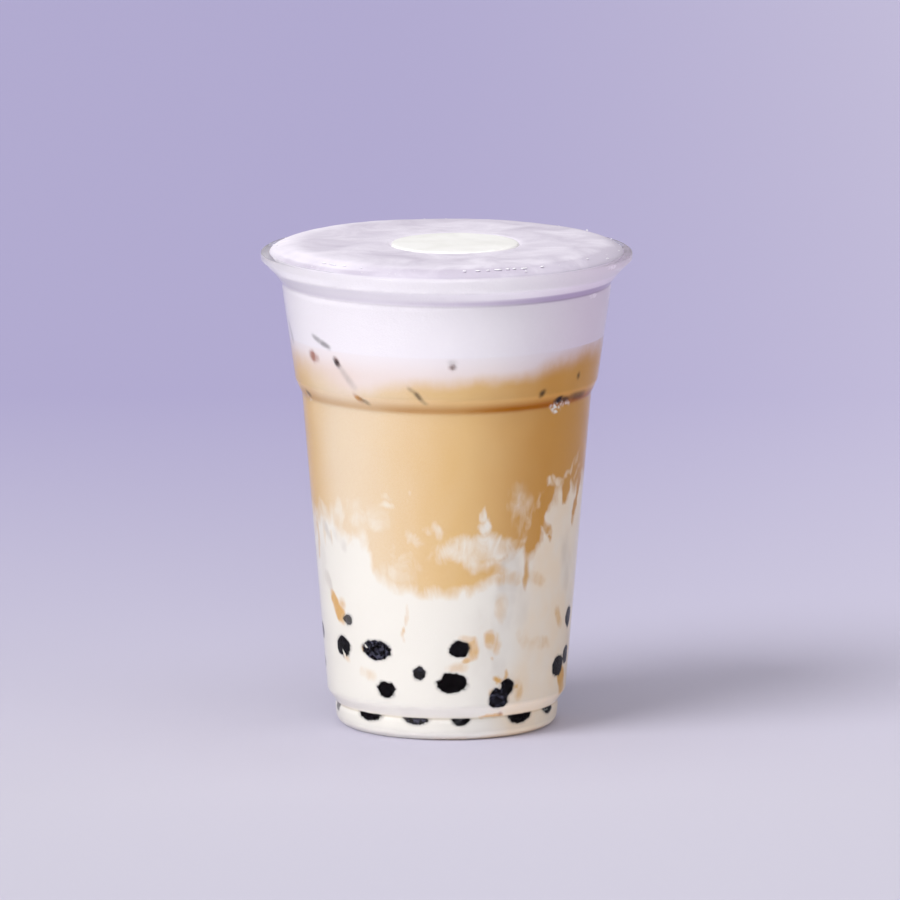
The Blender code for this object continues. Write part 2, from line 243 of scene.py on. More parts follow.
TEA_STREAKS = (
    (48, 66.4, 45.4, 60.4, 0.9, 1.3, 1.3, 0.95),
    (60.5, 69, 60.8, 60.8, 0.8, 0.5, 1.1, 0.95),
    (75, 66.4, 69.8, 55.6, 1.2, 0.6, 1.2, 0.9),
    (43, 59.6, 38.6, 50.6, 0.9, 0.8, 1.9, 0.62),
    (45.6, 58.4, 50.6, 54, 0.6, 0.6, 1.3, 0.72),
    (50.2, 53, 50.6, 52.4, 0.4, 0.3, 1, 0.7),
    (45.2, 56, 44, 53.2, 0.5, 0.3, 1.1, 0.5),
    (38.8, 47, 38.2, 43, 0.1, 0.3, 1.8, 0.62),
    (38.4, 44.6, 36.8, 41.8, 0.35, 0.5, 1.6, 0.66),
    (38.6, 50.6, 38.6, 46, 0.2, 0.3, 1.6, 0.3),
    (39.2, 53.6, 39.8, 49.8, 0.45, 0.55, 1.5, 0.6),
    (33, 52.6, 38, 51.6, 0.4, 0.6, 1.9, 0.3),
    (-50, 57.6, -45, 55.6, 0.8, 0.8, 1.7, 0.35),
    (-67, 55.4, -66, 50, 0.3, 0.3, 1.2, 0.4),
    (-59, 54.4, -58, 50.6, 0.3, 0.3, 1.2, 0.35),
    (-77, 54, -76, 47, 0.3, 0.3, 1.2, 0.45),
)
# Thin marks of brown sugar syrup.
SYRUP_MARKS = (
    (-63, 37, -58.2, 33.4, 1, 1.7, 1.3, 0.9),
    (-59.6, 34.8, -55, 30.8, 1.7, 1.3, 1.3, 0.9),
    (-54, 36, -55, 33.4, 0.3, 0.6, 1.6, 0.42),
    (20.5, 29.2, 20, 26.4, 0.8, 1, 1.3, 0.78),
    (23, 28.4, 24, 24.4, 0.4, 0.5, 1.6, 0.52),
    (7, 28.4, 12.6, 27, 0.4, 0.7, 1.4, 0.42),
    (12.6, 27, 12.4, 23.4, 0.7, 0.6, 1.4, 0.74),
    (26, 39, 24.5, 33, 0.3, 0.4, 2, 0.29),
    (36, 29, 41, 25.6, 0.3, 0.5, 2.4, 0.2),
    (42, 25.4, 47, 24.8, 0.4, 0.3, 2.4, 0.18),
    (61, 33, 65, 28.6, 0.5, 0.7, 1.8, 0.57),
    (48, 25.4, 55, 24, 0.5, 0.5, 2, 0.31),
    (-43, 17.9, -38, 17.4, 0.7, 0.6, 2.2, 0.29),
    (1, 20.6, 9, 20.4, 0.4, 0.4, 1.8, 0.34),
    (36, 15.6, 36.4, 11.4, 0.5, 0.4, 1.6, 0.57),
    (38.4, 44.6, 37, 42, 0.3, 0.4, 1.4, 0.52),
    (41, 43.2, 48, 42.4, 0.5, 0.4, 1.8, 0.42),
    (18, 46.4, 27, 45.4, 0.6, 0.8, 2, 0.49),
    (22, 43.4, 33, 43.2, 0.6, 0.5, 1.9, 0.42),
    (-18, 36.4, -19.6, 33, 0.2, 0.3, 0.8, 0.31),
    (-20.8, 31.8, -21, 30, 0.2, 0.3, 0.7, 0.6),
    (-20.4, 29.4, -19.6, 27.6, 0.2, 0.15, 0.7, 0.31),
    (8.4, 22, 11.6, 22.4, 0.25, 0.35, 0.8, 0.72),
    (20.8, 22.4, 21.2, 21.8, 0.3, 0.25, 0.6, 0.49),
    (21.8, 17.2, 26.4, 16.4, 0.25, 0.35, 0.7, 0.92),
    (24.6, 17.6, 23.6, 15.8, 0.15, 0.15, 0.6, 0.72),
    (29.2, 19, 28.2, 16.8, 0.1, 0.2, 0.7, 0.72),
    (34, 15.4, 36, 15.4, 0.25, 0.15, 0.6, 0.88),
    (20.6, 14.4, 21.6, 12.6, 0.3, 0.2, 0.8, 0.6),
    (69, 16.8, 74, 11.4, 1.2, 2.3, 1.3, 1),
    (18, 6.5, 29, 6.6, 0.15, 0.35, 0.6, 0.78),
    (-54.6, 20.6, -53.6, 19.8, 0.4, 0.3, 1.3, 0.42),
    (-41.8, 24.4, -41.2, 23.2, 0.2, 0.2, 0.6, 0.86),
    (-37, 92.6, -34, 91.6, 0.2, 0.35, 0.6, 0.92),
)
# Faint reddish marks in the foam, and the pale nicks in the outlines of the pearls.
RUSSET_MARKS = (
    (-60.4, 101.7, -57.6, 101.3, 0.8, 0.9, 1.3, 0.85),
    (-45.9, 101.9, -44.2, 100.8, 0.5, 0.5, 0.9, 0.55),
    (-37.4, 92.8, -34, 91.4, 0.3, 0.4, 0.9, 0.45),
    (2, 101.8, 2.8, 101.7, 0.5, 0.4, 0.9, 0.5),
    (26.8, 7, 28.6, 6.9, 0.2, 0.25, 0.6, 0.6),
)
PEARL_NOTCHES = (
    (-57.4, 22.6, -55.8, 20.8, 0.12, 0.3, 0.4, 0.9),
    (-41, 24.9, -39.6, 24.4, 0.1, 0.1, 0.4, 0.7),
    (27.4, 15.2, 26, 13.8, 0.05, 0.1, 0.4, 0.4),
)
# Edges of the ice, with painted shade along the ledge's line; painted sparkles where the ice meets
# the ledge; and smears of painted grey shade in the milk.
ICE_EDGES_AND_LEDGE_SHADE = (
    (-80, 108, -77, 103.6, 0.3, 0.3, 1.35, 0.26),
    (-57, 107.2, -52.6, 105.9, 0.15, 0.35, 0.85, 0.5),
    (-52.6, 105.9, -47.6, 104.8, 0.35, 0.15, 0.85, 0.62),
    (-45.6, 101.7, -44, 100.4, 0.4, 0.5, 0.85, 0.92),
    (-43.4, 100, -37.4, 95, 0.15, 0.3, 1.35, 0.21),
    (-35.2, 92, -31.4, 90.8, 0.15, 0.2, 0.75, 0.45),
    (-14.2, 95.8, -12, 94.6, 0.1, 0.15, 0.75, 0.36),
    (-12, 94.6, -9.6, 92.8, 0.2, 0.2, 0.7, 0.72),
    (-9.6, 92.8, -7.8, 91.7, 0.1, 0.08, 0.75, 0.34),
    (1.9, 101.8, 2.8, 101.7, 0.35, 0.33, 0.85, 0.62),
    (0.8, 102.9, 3.4, 103, 0.15, 0.15, 1.15, 0.18),
    (39.8, 93.8, 38.4, 92.6, 0.15, 0.4, 0.85, 0.85),
    (59.8, 96.8, 59, 95.8, 0.15, 0.4, 0.85, 0.7),
    # The next four rows lie on the ledge's line: edges of ice there, and painted shade that
    # deepens the ledge's line.
    (47.6, 90.4, 51.4, 90.7, 0.55, 0.7, 0.8, 1),
    (51, 90.5, 56, 90.3, 0.4, 0.2, 0.85, 0.8),
    (57, 90.8, 68, 90.4, 0.4, 0.5, 1.1, 0.6),
    (-71, 90.6, -68, 90.2, 0.3, 0.3, 0.85, 0.62),
    (128, 104, 137, 99, 0.25, 0.55, 0.85, 0.7),
    (170, 101, 166, 97.5, 0.55, 0.25, 0.85, 0.65),
    (-152, 106.5, -146, 103.5, 0.35, 0.45, 0.85, 0.6),
    (-120, 95, -116, 91.5, 0.25, 0.55, 0.85, 0.7),
)
SPARKLES = (
    (46.6, 89, 50.6, 87.6, 0.7, 0.9, 0.9, 0.95),
    (51, 89.4, 58, 88.8, 0.3, 0.3, 0.8, 0.6),
    (-71.5, 89.2, -69, 88.8, 0.3, 0.3, 0.7, 0.75),
)
GREY_SHADE_SMEARS = (
    (-66, 56, -58, 50.6, 0.3, 0.4, 1.4, 0.5),
    (-56, 55, -51, 50.4, 0.3, 0.3, 1.4, 0.42),
    (-70, 42, -64, 37.6, 0.3, 0.4, 1.4, 0.5),
    (31, 50, 27, 40, 0.4, 0.8, 4, 0.42),
    (27, 40, 24, 30, 0.6, 0.4, 4, 0.38),
    (23, 30, 24, 17, 0.4, 0.2, 4, 0.3),
    (35, 44, 36, 33, 0.4, 0.4, 4, 0.24),
    (14, 35, 16, 20, 0.2, 0.2, 4, 0.14),
    (64, 52, 68, 40, 1, 1.4, 3, 0.3),
    (-70, 50, -72, 40, 0.8, 0.8, 2.5, 0.15),
)

# The dark patch of each front pearl: angle, height, half width and half height, how
# dark it is, and how much pale speckle it has.
Patch = namedtuple("Patch", "angle height half_width half_height dark bloom")
PEARL_PATCHES = (
    Patch(-51.6, 31.2, 1.7, 1.4, 0.86, 0.60),
    Patch(-84, 25.4, 2.2, 2.1, 0.96, 0.30),
    Patch(-56.8, 23.5, 3.3, 2.7, 1.00, 0.06),
    Patch(-34.7, 24.0, 4.3, 2.6, 1.00, 0.95),
    Patch(-13, 18.7, 1.7, 1.9, 0.98, 0.35),
    Patch(5.9, 25.3, 2.7, 2.2, 1.00, 0.10),
    Patch(-30.2, 13.6, 2.6, 2.2, 1.00, 0.05),
    Patch(2.6, 16.1, 3.8, 2.7, 1.00, 0.00),
    Patch(25.8, 11.5, 2.8, 2.7, 1.00, 0.80),
    Patch(29.9, 14.4, 2.2, 2.1, 1.00, 0.15),
    Patch(75.5, 29.8, 2.2, 2.6, 1.00, 0.00),
    Patch(66.5, 17.3, 3.3, 2.8, 1.00, 0.00),
    Patch(76, 19.6, 2.2, 2.4, 1.00, 0.00),
    Patch(-86, 16.6, 1.4, 1.4, 0.80, 0.50),
)
# The heel pearls, cut off by the crease: angle, half width, depth, darkness and speckle.
HeelPatch = namedtuple("HeelPatch", "angle half_width depth dark bloom")
HEEL_PATCHES = (
    HeelPatch(-78, 2.0, 1.9, 0.70, 0.5),
    HeelPatch(-44, 4.0, 1.9, 1.00, 0.1),
    HeelPatch(-16, 3.5, 1.8, 0.97, 0.8),
    HeelPatch(7.4, 2.5, 1.8, 1.00, 0.2),
    HeelPatch(41.5, 4.0, 2.4, 1.00, 0.0),
    HeelPatch(66, 3.0, 1.6, 1.00, 0.1),
)
# What the patches of the pearls at the back have in common, on the wall and at the heel.
BACK_PATCH = (2.6, 2.3, 1.0, 0.2)
BACK_HEEL_PATCH = (2.9, 2.0, 1.0, 0.2)
PATCH_RAMP = 1.6             # width of the ramp across a patch's outline
NEAR_WALL = 0.6              # how deep below the wall a pearl still shows its patch
SPARKLE_COLOUR = (0.95, 0.94, 0.93)
# Painted light: the drink is painted this much brighter where the wall turns under.
UNDERSIDE_PAINTED_LIGHT = 1.07        # how much brighter the drink is where the wall turns under
NOISE_SEED = 120             # fixes the smooth random shifts, so that every run is the same

# --- The stage ---------------------------------------------------------------------------

CAMERA_TARGET = (0.0009, 0.0, 0.0728)
SENSOR_WIDTH = 36.0
FLOOR_HALF_WIDTH = 4.0
SURROUNDINGS = "E4E1E6"
# The lamp at the back right: its place, what it is aimed at, and its width and height.
EDGE_LAMP = ((0.62, 0.38, 0.16), (0.0, 0.0, 0.065), (0.12, 0.5))
# The broad lights: the setting for the strength, the azimuth from the front and the
# elevation in degrees, and the width as a multiple of the key's.
SUNS = (
    ("key", "key_power", -51, 47, 1),
    ("front_fill", "front_fill", 4, 7, 1),
    ("side_fill", "side_fill", 62, 5, 1),
    ("top_fill", "top_power", 0, 84, 2),
)


# --- Settings ----------------------------------------------------------------------------

def from_hex(code):
    """The linear colour of a six-digit web colour."""
    parts = [int(code[start:start + 2], 16) / 255 for start in (0, 2, 4)]
    return tuple(c / 12.92 if c <= 0.04045 else ((c + 0.055) / 1.055) ** 2.4 for c in parts)


def colour_prop(name, description, code):
    return FloatVectorProperty(name=name, description=description, subtype="COLOR",
                               size=3, min=0.0, max=1.0, default=from_hex(code))


def length_prop(name, description, default, low, high):
    return FloatProperty(name=name, description=description, default=default,
                         min=low, max=high, unit="LENGTH", subtype="DISTANCE")


def angle_prop(name, description, degrees, high):
    return FloatProperty(name=name, description=description, default=math.radians(degrees),
                         min=0.0, max=high, unit="ROTATION", subtype="ANGLE")


def number_prop(name, description, default, low, high, subtype="NONE"):
    return FloatProperty(name=name, description=description, default=default,
                         min=low, max=high, subtype=subtype)


def count_prop(name, description, default, low, high):
    return IntProperty(name=name, description=description, default=default,
                       min=low, max=high)


class MilkTeaCupSettings(bpy.types.PropertyGroup):
    """Sizes and finish of the clear cup."""
    lip_radius: length_prop("Lip radius", "Outer radius of the rolled lip", LIP_RADIUS, 0.03, 0.08)
    height: length_prop("Height", "Height of the lip above the foot", CUP_HEIGHT, 0.05, 0.25)
    wall: length_prop("Wall", "Thickness of the plastic", WALL, 0.0002, 0.002)
    steps: count_prop("Steps", "Facets round the cup", 160, 32, 360)
    roughness: number_prop("Roughness", "How much the plastic blurs what it reflects",
                           0.06, 0.0, 1.0, "FACTOR")
    ior: number_prop("IOR", "How strongly the plastic bends and reflects light", 1.17, 1.0, 2.0)


class MilkTeaDrinkSettings(bpy.types.PropertyGroup):
    """Colours and fineness of the drink."""
    columns: count_prop("Columns", "Facets round the drink's side", 512, 64, 720)
    row_height: length_prop("Row height", "Height of a row of facets on the drink's side",
                            0.0005, 0.0002, 0.005)
    milk: colour_prop("Milk", "Colour of the white milk", "F7F3EB")
    # Warm milk lies on the shaded right side: partly tea, partly painted shade.
    warm_milk: colour_prop("Warm milk", "Milk that has taken up some tea", "FBEAD3")
    # The tea's three tones carry partly painted shade: its deep tone lies on the shaded right
    # side.
    pale_tea: colour_prop("Pale tea", "Milk tea where it is milkiest", "F0DCC0")
    fair_tea: colour_prop("Fair tea", "Milk tea between its pale and deep sides", "E9C48B")
    deep_tea: colour_prop("Deep tea", "Milk tea where it is strongest", "D59E54")
    syrup: colour_prop("Syrup", "Brown sugar syrup in thin marks", "E2AF62")
    russet: colour_prop("Russet", "Faint reddish marks in the foam", "A4644A")
    # Painted shade along the ledge's dark line, deeper to the right.
    ledge: colour_prop("Ledge", "How the tea deepens above the ledge", "C69634")
    blend: colour_prop("Blend", "Foam that has taken up some tea", "F2DED4")
    foam: colour_prop("Foam", "Colour of the lavender foam", "FAF5FB")
    # Painted shade: the foam's right side is dimmed by this colour.
    mauve: colour_prop("Mauve", "The foam's deeper side", "F2E8F5")
    ice: colour_prop("Ice edges", "Dark edges of ice at the wall", "2B2226")
    # Painted grey shade in the milk.
    veil: colour_prop("Veil", "Thin grey milk", "D6CDC6")
    collar_line: colour_prop("Collar line", "Shade above the collar's crease", "C3B8CF")
    heel_line: colour_prop("Heel line", "Shade in the heel's crease", "EBDFCB")
    # Painted light: the wall's colours are dimmed by this, and faces where the wall turns under
    # are painted back to full brightness.
    painted_light_dim: colour_prop("Wall shade", "How the cup's wall deepens the drink", "E2E2E2")


class MilkTeaToppingSettings(bpy.types.PropertyGroup):
    """Colours and forms of the foam's top, the cream and the pearls."""
    # These three colours also carry the top's painted light at the left rim and painted shade at
    # the right and front rims.
    foam_light: colour_prop("Foam light", "Colour of the foam's palest drifts", "FAF3FD")
    foam_top: colour_prop("Foam top", "Colour of the foam's upper face", "E7E1EC")
    foam_shade: colour_prop("Foam shade", "Colour of the foam's darker drifts", "C9C1D0")
    cream: colour_prop("Cream", "Colour of the cream disc", "F8F7F4")
    cream_fold: colour_prop("Cream fold", "Colour of the cream's faint folds", "ECEBE6")
    pearl: colour_prop("Pearl", "Colour of the tapioca", "070506")
    bloom: colour_prop("Bloom", "Pale bloom on some pearls", "4C4C5E")
    bubbles: count_prop("Bubbles", "Small bubbles along the foam's rim", 60, 0, 1000)
    seed: count_prop("Seed", "Seed of the scatter", 11, 0, 1000)


class MilkTeaStageSettings(bpy.types.PropertyGroup):
    """Camera, lamps and floor."""
    elevation: angle_prop("Elevation", "Angle of the camera above the table", 9.8, 1.5)
    distance: length_prop("Distance", "Distance of the camera from the cup", 3.5, 0.5, 10.0)
    frame_width: length_prop("Frame width", "Width that the camera sees at the cup",
                             0.2377, 0.1, 1.0)
    key_power: number_prop("Key power", "Strength of the soft light from the front left",
                           1.92, 0.0, 20.0)
    front_fill: number_prop("Front fill", "Strength of the low light from the front",
                            0.74, 0.0, 20.0)
    side_fill: number_prop("Side fill", "Strength of the weak light from the right",
                           0.26, 0.0, 20.0)
    top_power: number_prop("Top power", "Strength of the very soft light from above",
                           1.00, 0.0, 20.0)
    key_size: angle_prop("Key size", "Angle across the soft light from the front left",
                         30, math.pi)
    edge_power: number_prop("Edge power", "Power of the lamp at the back right, in watts",
                            0.5, 0.0, 100.0)
    fill: number_prop("Fill", "Strength of the pale light from all round", 0.38, 0.0, 5.0)
    near_floor: colour_prop("Near floor", "Colour of the floor in front", "CAC7D5")
    far_floor: colour_prop("Far floor", "Colour of the floor behind", "AAA4C7")
    side_floor: colour_prop("Side floor", "Colour of the floor behind to the right", "C6C1D6")


# --- Outlines: lists of (radius, height), running from top to bottom outside ---------------

def rounded(corners, facet=math.radians(15)):
    """Replace each corner of (radius, height, rounding) by an arc of that rounding."""
    points = [corners[0][:2]]
    for before, corner, after in zip(corners, corners[1:], corners[2:]):
        middle = Vector(corner[:2])
        rounding = corner[2]
        towards = (Vector(before[:2]) - middle).normalized()
        onwards = (Vector(after[:2]) - middle).normalized()
        half_angle = towards.angle(onwards) / 2
        reach = rounding / math.tan(half_angle)
        centre = middle + (towards + onwards).normalized() * rounding / math.sin(half_angle)
        start = middle + towards * reach - centre
        end = middle + onwards * reach - centre
        first = math.atan2(start.y, start.x)
        turn = (math.atan2(end.y, end.x) - first + math.pi) % math.tau - math.pi
        steps = math.ceil(abs(turn) / facet)
        for step in range(steps + 1):
            bearing = first + turn * step / steps
            points.append((centre.x + rounding * math.cos(bearing),
                           centre.y + rounding * math.sin(bearing)))
    return points + [corners[-1][:2]]


def inset(outline, distance):
    """Move an outline inwards by a distance, with mitred corners."""
    points = [Vector(point) for point in outline]
    normals = []
    for start, end in zip(points, points[1:]):
        along = (end - start).normalized()
        normals.append(Vector((along.y, -along.x)))
    moved = []
    for point, before, after in zip(points, normals[:1] + normals, normals + normals[-1:]):
        mean = (before + after) / 2
        moved.append(tuple(point + mean * distance / mean.length_squared))
    return moved


def cup_outline(lip_radius=LIP_RADIUS, top=CUP_HEIGHT):
    """The outside of the cup, from the lip's inner edge down to the axis."""
    bend_in, bend_down = COLLAR_BEND
    crease = top - COLLAR_HEIGHT
    return rounded([
        (lip_radius - LIP_WIDTH, top),
        (lip_radius, top, LIP_ROUND),
        (lip_radius, top - LIP_DEPTH, LIP_FOOT_ROUND),
        (lip_radius - bend_in, top - bend_down, COLLAR_ROUND),
        (CREASE_RADIUS, crease, CREASE_ROUND),
        (UPPER_WALL_TOP, crease - CREASE_DROP, WALL_HEAD_ROUND),
        (UPPER_WALL_FOOT, LEDGE_TOP, LEDGE_TOP_ROUND),
        (LOWER_WALL_TOP, LEDGE_FOOT, LEDGE_FOOT_ROUND),
        (LOWER_WALL_FOOT, HEEL_TOP, HEEL_ROUND),
        (FOOT_RADIUS - HEEL_DENT, HEEL_CREASE, HEEL_CREASE_ROUND),
        (FOOT_RADIUS, HEEL_CREASE - FOOT_SHOULDER, SHOULDER_ROUND),
        (FOOT_RADIUS - FOOT_TAPER, 0.0, FOOT_ROUND),
        (RING_RADIUS, 0.0, RING_ROUND),
        (RING_RADIUS - RING_SLOPE, FLOOR_RECESS, FLOOR_ROUND),
        (0.0, FLOOR_RECESS),
    ])


def cup_inside(wall, lip_radius=LIP_RADIUS, top=CUP_HEIGHT):
    """The inside of the cup: straight down behind the lip, then along the wall."""
    outline = inset(cup_outline(lip_radius, top)[1:], wall)
    below_lip = [point for point in outline if point[1] < top - LIP_ROOT]
    return [(lip_radius - LIP_WIDTH, top)] + below_lip


RIM_RADIUS = LIP_RADIUS - LIP_WIDTH + REACH_INTO_WALL
DRINK_OUTLINE = [(RIM_RADIUS, CUP_HEIGHT)] + cup_inside(WALL - REACH_INTO_WALL)[1:]
DRINK_SIDE = [point for point in DRINK_OUTLINE if point[0] > RING_RADIUS]


def drink_radius(height):
    """Radius of the drink's side at a height or at an array of heights."""
    radii, heights = zip(*DRINK_SIDE[::-1])
    return np.interp(height, heights, radii)


def along_wall(heights):
    """The points of the drink's side at some heights."""
    return [(float(drink_radius(height)), float(height)) for height in heights]


def foam_height(share):
    """Height of the foam's top, from its middle (0) to its rim (1)."""
    rim = CUP_HEIGHT + FOAM_RIM_RISE
    return rim + (FOAM_TOP - rim) * (1 - share ** FOAM_FLATNESS)


# --- Meshes ------------------------------------------------------------------------------

def spun(outline, steps):
    """A closed turned form: an eighth of a turn is spun, then doubled three times."""
    cage = bmesh.new()
    points = [cage.verts.new((radius, 0.0, height)) for radius, height in outline]
    lines = [cage.edges.new(pair) for pair in zip(points, points[1:])]
    bmesh.ops.spin(cage, geom=points + lines, cent=(0, 0, 0), axis=(0, 0, 1),
                   angle=math.tau / 8, steps=steps // 8)
    for share in (1 / 8, 1 / 4, 1 / 2):
        copy = bmesh.ops.duplicate(cage, geom=cage.verts[:] + cage.edges[:] + cage.faces[:])
        turned = [item for item in copy["geom"] if isinstance(item, bmesh.types.BMVert)]
        bmesh.ops.rotate(cage, verts=turned, cent=(0, 0, 0),
                         matrix=Matrix.Rotation(math.tau * share, 3, "Z"))
    bmesh.ops.remove_doubles(cage, verts=cage.verts, dist=0.000002)
    bmesh.ops.recalc_face_normals(cage, faces=cage.faces)
    return cage


def new_object(name, cage, material):
    """An object whose mesh comes from a bmesh."""
    mesh = bpy.data.meshes.new(name)
    cage.to_mesh(mesh)
    cage.free()
    mesh.materials.append(material)
    piece = bpy.data.objects.new(name, mesh)
    bpy.context.scene.collection.objects.link(piece)
    return piece


def new_piece(name, cage, material, sharp=None):
    """A smooth shaded object from a bmesh, that rides on the body."""
    piece = new_object(name, cage, material)
    piece.data.shade_smooth()
    if sharp is not None:
        piece.data.set_sharp_from_angle(angle=math.radians(sharp))
    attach(piece, "root")
    return piece


def rows_between(top, bottom, row_height):
    """Heights from top to bottom, evenly spaced, without the two ends."""
    rows = max(2, round((top - bottom) / row_height))
    return [top + (bottom - top) * row / rows for row in range(1, rows)]


def get_points(mesh):
    points = np.empty(len(mesh.vertices) * 3)
    mesh.vertices.foreach_get("co", points)
    return points.reshape(-1, 3)


def set_points(mesh, points):
    mesh.vertices.foreach_set("co", points.ravel())
    mesh.update()


def set_layer(mesh, name, values):
    """Keep a value between 0 and 1 for each point, as an attribute."""
    layer = mesh.attributes.new(name, "FLOAT", "POINT")
    layer.data.foreach_set("value", np.clip(values, 0, 1).astype(np.float32))


def front_angle(x, y):
    """Angle round the cup, in degrees anticlockwise from the front."""
    return np.degrees(np.arctan2(x, -y))


def turned_from(centre, around):
    """Degrees from a centre, between -180 and 180."""
    return (around - centre + 180) % 360 - 180


def level_height(level, around, share):
    """Height of a level at angles and shares of the radius."""
    raised = np.zeros_like(around)
    for swell in level.swells:
        inside = np.clip(np.abs(turned_from(swell.centre, around)) / swell.half_width, 0, 1)
        raised += swell.height * (0.5 + 0.5 * np.cos(np.pi * inside))
    return level.mean + raised * share ** 2


def wave(mesh, top, bottom):
    """Stretch a turned level between its waved faces, keeping it against the wall."""
    points = get_points(mesh)
    height = points[:, 2]
    around = front_angle(points[:, 0], points[:, 1])
    share = np.clip(np.hypot(points[:, 0], points[:, 1]) / drink_radius(height), 0, 1)
    low = level_height(bottom, around, share)
    high = level_height(top, around, share)
    part = (height - bottom.mean) / (top.mean - bottom.mean)
    above = part > -0.001
    raised = np.where(above, low + part * (high - low), height)
    stretch = np.where(above, drink_radius(raised) / drink_radius(height), 1.0)
    set_points(mesh, np.column_stack([points[:, 0] * stretch, points[:, 1] * stretch, raised]))


def drift(points, size, seed, stretch=1.0):
    """Smooth random shifts of about -1 to 1, with features of a size in millimetres."""
    noise.seed_set(NOISE_SEED + seed)
    scale = np.array([1, 1, 1 / stretch]) * 1000 / size
    away = Vector((17.3 * seed, 5.1 * seed, 9.7 * seed))
    return np.array([noise.noise_vector(Vector(point) + away)[:] for point in points * scale])


# --- Painting the drink's side -----------------------------------------------------------

def smooth(value):
    value = np.clip(value, 0, 1)
    return value * value * (3 - 2 * value)


def ramp(value, start, end):
    """A smooth rise from 0 to 1 between a start and an end, which may lie below it."""
    return smooth((value - start) / (end - start))


def hump(value, start, full, fading, end):
    """A smooth rise from a start, and a smooth fall to an end."""
    return ramp(value, start, full) * ramp(value, end, fading)


def stroke_amount(stroke, around, height, radius):
    """How much of a stroke lies at each place on the wall."""
    to_mm = radius * np.pi / 180
    across = turned_from(stroke.angle, around) * to_mm
    up = height - stroke.height
    run = (stroke.to_angle - stroke.angle) * to_mm
    rise = stroke.to_height - stroke.height
    share = np.clip((across * run + up * rise) / (run * run + rise * rise + 1e-9), 0, 1)
    off = np.hypot(across - share * run, up - share * rise)
    width = stroke.width + (stroke.to_width - stroke.width) * share
    taper = (2 * share - 1) ** 2
    faded = stroke.strength * (1 - END_FADE * taper ** 2)
    return faded * smooth(1 - (off - width * (1 - END_TAPER * taper)) / stroke.soft)


def edge_height(edge, around):
    """Height of a colour's edge at each angle."""
    angles, heights = zip(*edge)
    return np.interp(around, angles, heights, period=360)


class Wall:
    """Where a mesh's points lie on the drink's wall, in degrees and millimetres, and the
    smooth random shifts that make the drink's marks uneven."""

    def __init__(self, points):
        self.points = points
        self.angle = front_angle(points[:, 0], points[:, 1])
        self.height = points[:, 2] * 1000
        self.radius = np.hypot(points[:, 0], points[:, 1]) * 1000
        self.degree = np.degrees(1 / np.maximum(self.radius, 1))    # degrees in a millimetre
        self.broad = drift(points, 9, 1, 1.5)
        self.middling = drift(points, 3.6, 2, 1.5)
        self.fine = drift(points, 1.5, 3, 1.3)
        self.eddies = drift(points, 4.2, 12, 1.6) + 0.5 * drift(points, 1.9, 13, 1.6)
        self.curls = drift(points, 5.0, 5, 2.0)
        shift = (self.broad * [0.8, 0.8, 1.0] + self.middling * [0.9, 0.9, 0.9]
                 + self.fine * [0.45, 0.45, 0.45])
        self.shifted = (self.angle + shift[:, 0] * self.degree, self.height + shift[:, 2])
        self.bent = (self.shifted[0] + 1.1 * self.eddies[:, 0] * self.degree,
                     self.shifted[1] + 1.3 * self.eddies[:, 2])

    def strokes(self, rows, around, height):
        """How much of any of the strokes lies at each place."""
        total = np.zeros_like(self.angle)
        for row in rows:
            total = np.maximum(total, stroke_amount(Stroke(*row), around, height, self.radius))
        return total


def milk_layer(wall):
    """Milk against tea: their curled edge, with wisps of milk and streaks of tea."""
    around, height = wall.shifted
    ragged = 1.0 + 1.8 * ramp(np.abs(turned_from(-3, wall.angle)), 26, 40)
    curled = 1.1 * wall.curls[:, 0] + 0.8 * wall.middling[:, 1]
    under = edge_height(TEA_EDGE, around) - height + ragged * curled
    blur = 4.6 + 0.6 * ragged + 3.0 * hump(wall.angle, -100, -80, -44, -28)
    blur += 3.4 * hump(wall.angle, 33, 40, 47, 53)
    milk = np.clip(0.5 + under / blur, 0, 1)
    uneven = 0.85 + 0.55 * wall.middling[:, 1]
    wisps = wall.strokes(MILK_WISPS, *wall.bent)
    milk = np.maximum(milk, wisps * np.clip(uneven + 0.2, 0, 1.15))
    milk = milk - wall.strokes(TEA_STREAKS, *wall.bent) * np.clip(uneven + 0.3, 0, 1.1)
    faint_tea = ramp(wall.curls[:, 1], 0.15, 0.65)
    return milk - 0.06 * faint_tea * ramp(wall.height, 15, 40)


def warm_tint_and_shade_layer(wall):
    """Where the milk at the right is warmer: partly tea taken up, partly painted shade on the side
    away from the light.
    """
    start = 17 + 9 * ramp(wall.height, 12, 24)
    warm = hump(wall.angle, start, start + 22, 90, 130)
    return warm * (0.85 + 0.35 * wall.broad[:, 1] + 0.30 * wall.eddies[:, 1])


def depth_and_shade_layer(wall):
    """How strong the tea is: pale at the left, deep at the right and fair at the back; the deep
    right side is partly painted shade.
    """
    depth = 0.5 * ramp(wall.angle, -46, 10) + 0.5 * ramp(wall.angle, 2, 50)
    depth *= ramp(wall.angle, 150, 90)
    depth = np.maximum(depth, 0.48 * ramp(wall.angle, -50, -76))
    depth += 0.04 * wall.curls[:, 2]
    back = ramp(np.abs(wall.angle), 88, 118)
    return depth * (1 - back) + 0.55 * back


def foam_layer(wall):
    """Foam against tea: a wide soft edge, wider at both sides."""
    edge = edge_height(FOAM_EDGE, wall.angle + 2 * wall.broad[:, 0])
    left = hump(wall.angle, -120, -100, -50, -30)
    right = hump(wall.angle, 26, 50, 100, 120)
    over = wall.height - edge + 0.9 * wall.curls[:, 0] + 0.5 * wall.middling[:, 2]
    return smooth(0.5 + (over - 1.2 * right) / (5.0 + 4.0 * left + 4.5 * right))


def blend_layer(wall):
    """How much tea has risen into the foam below the faint line in it."""
    below = FOAM_LINE + 0.3 * wall.broad[:, 1] - wall.height
    blend = 0.16 * ramp(below, 0, 0.6) + 0.50 * ramp(below, 0, 7.0)
    return blend * (1 + 0.45 * ramp(wall.angle, -30, -50))


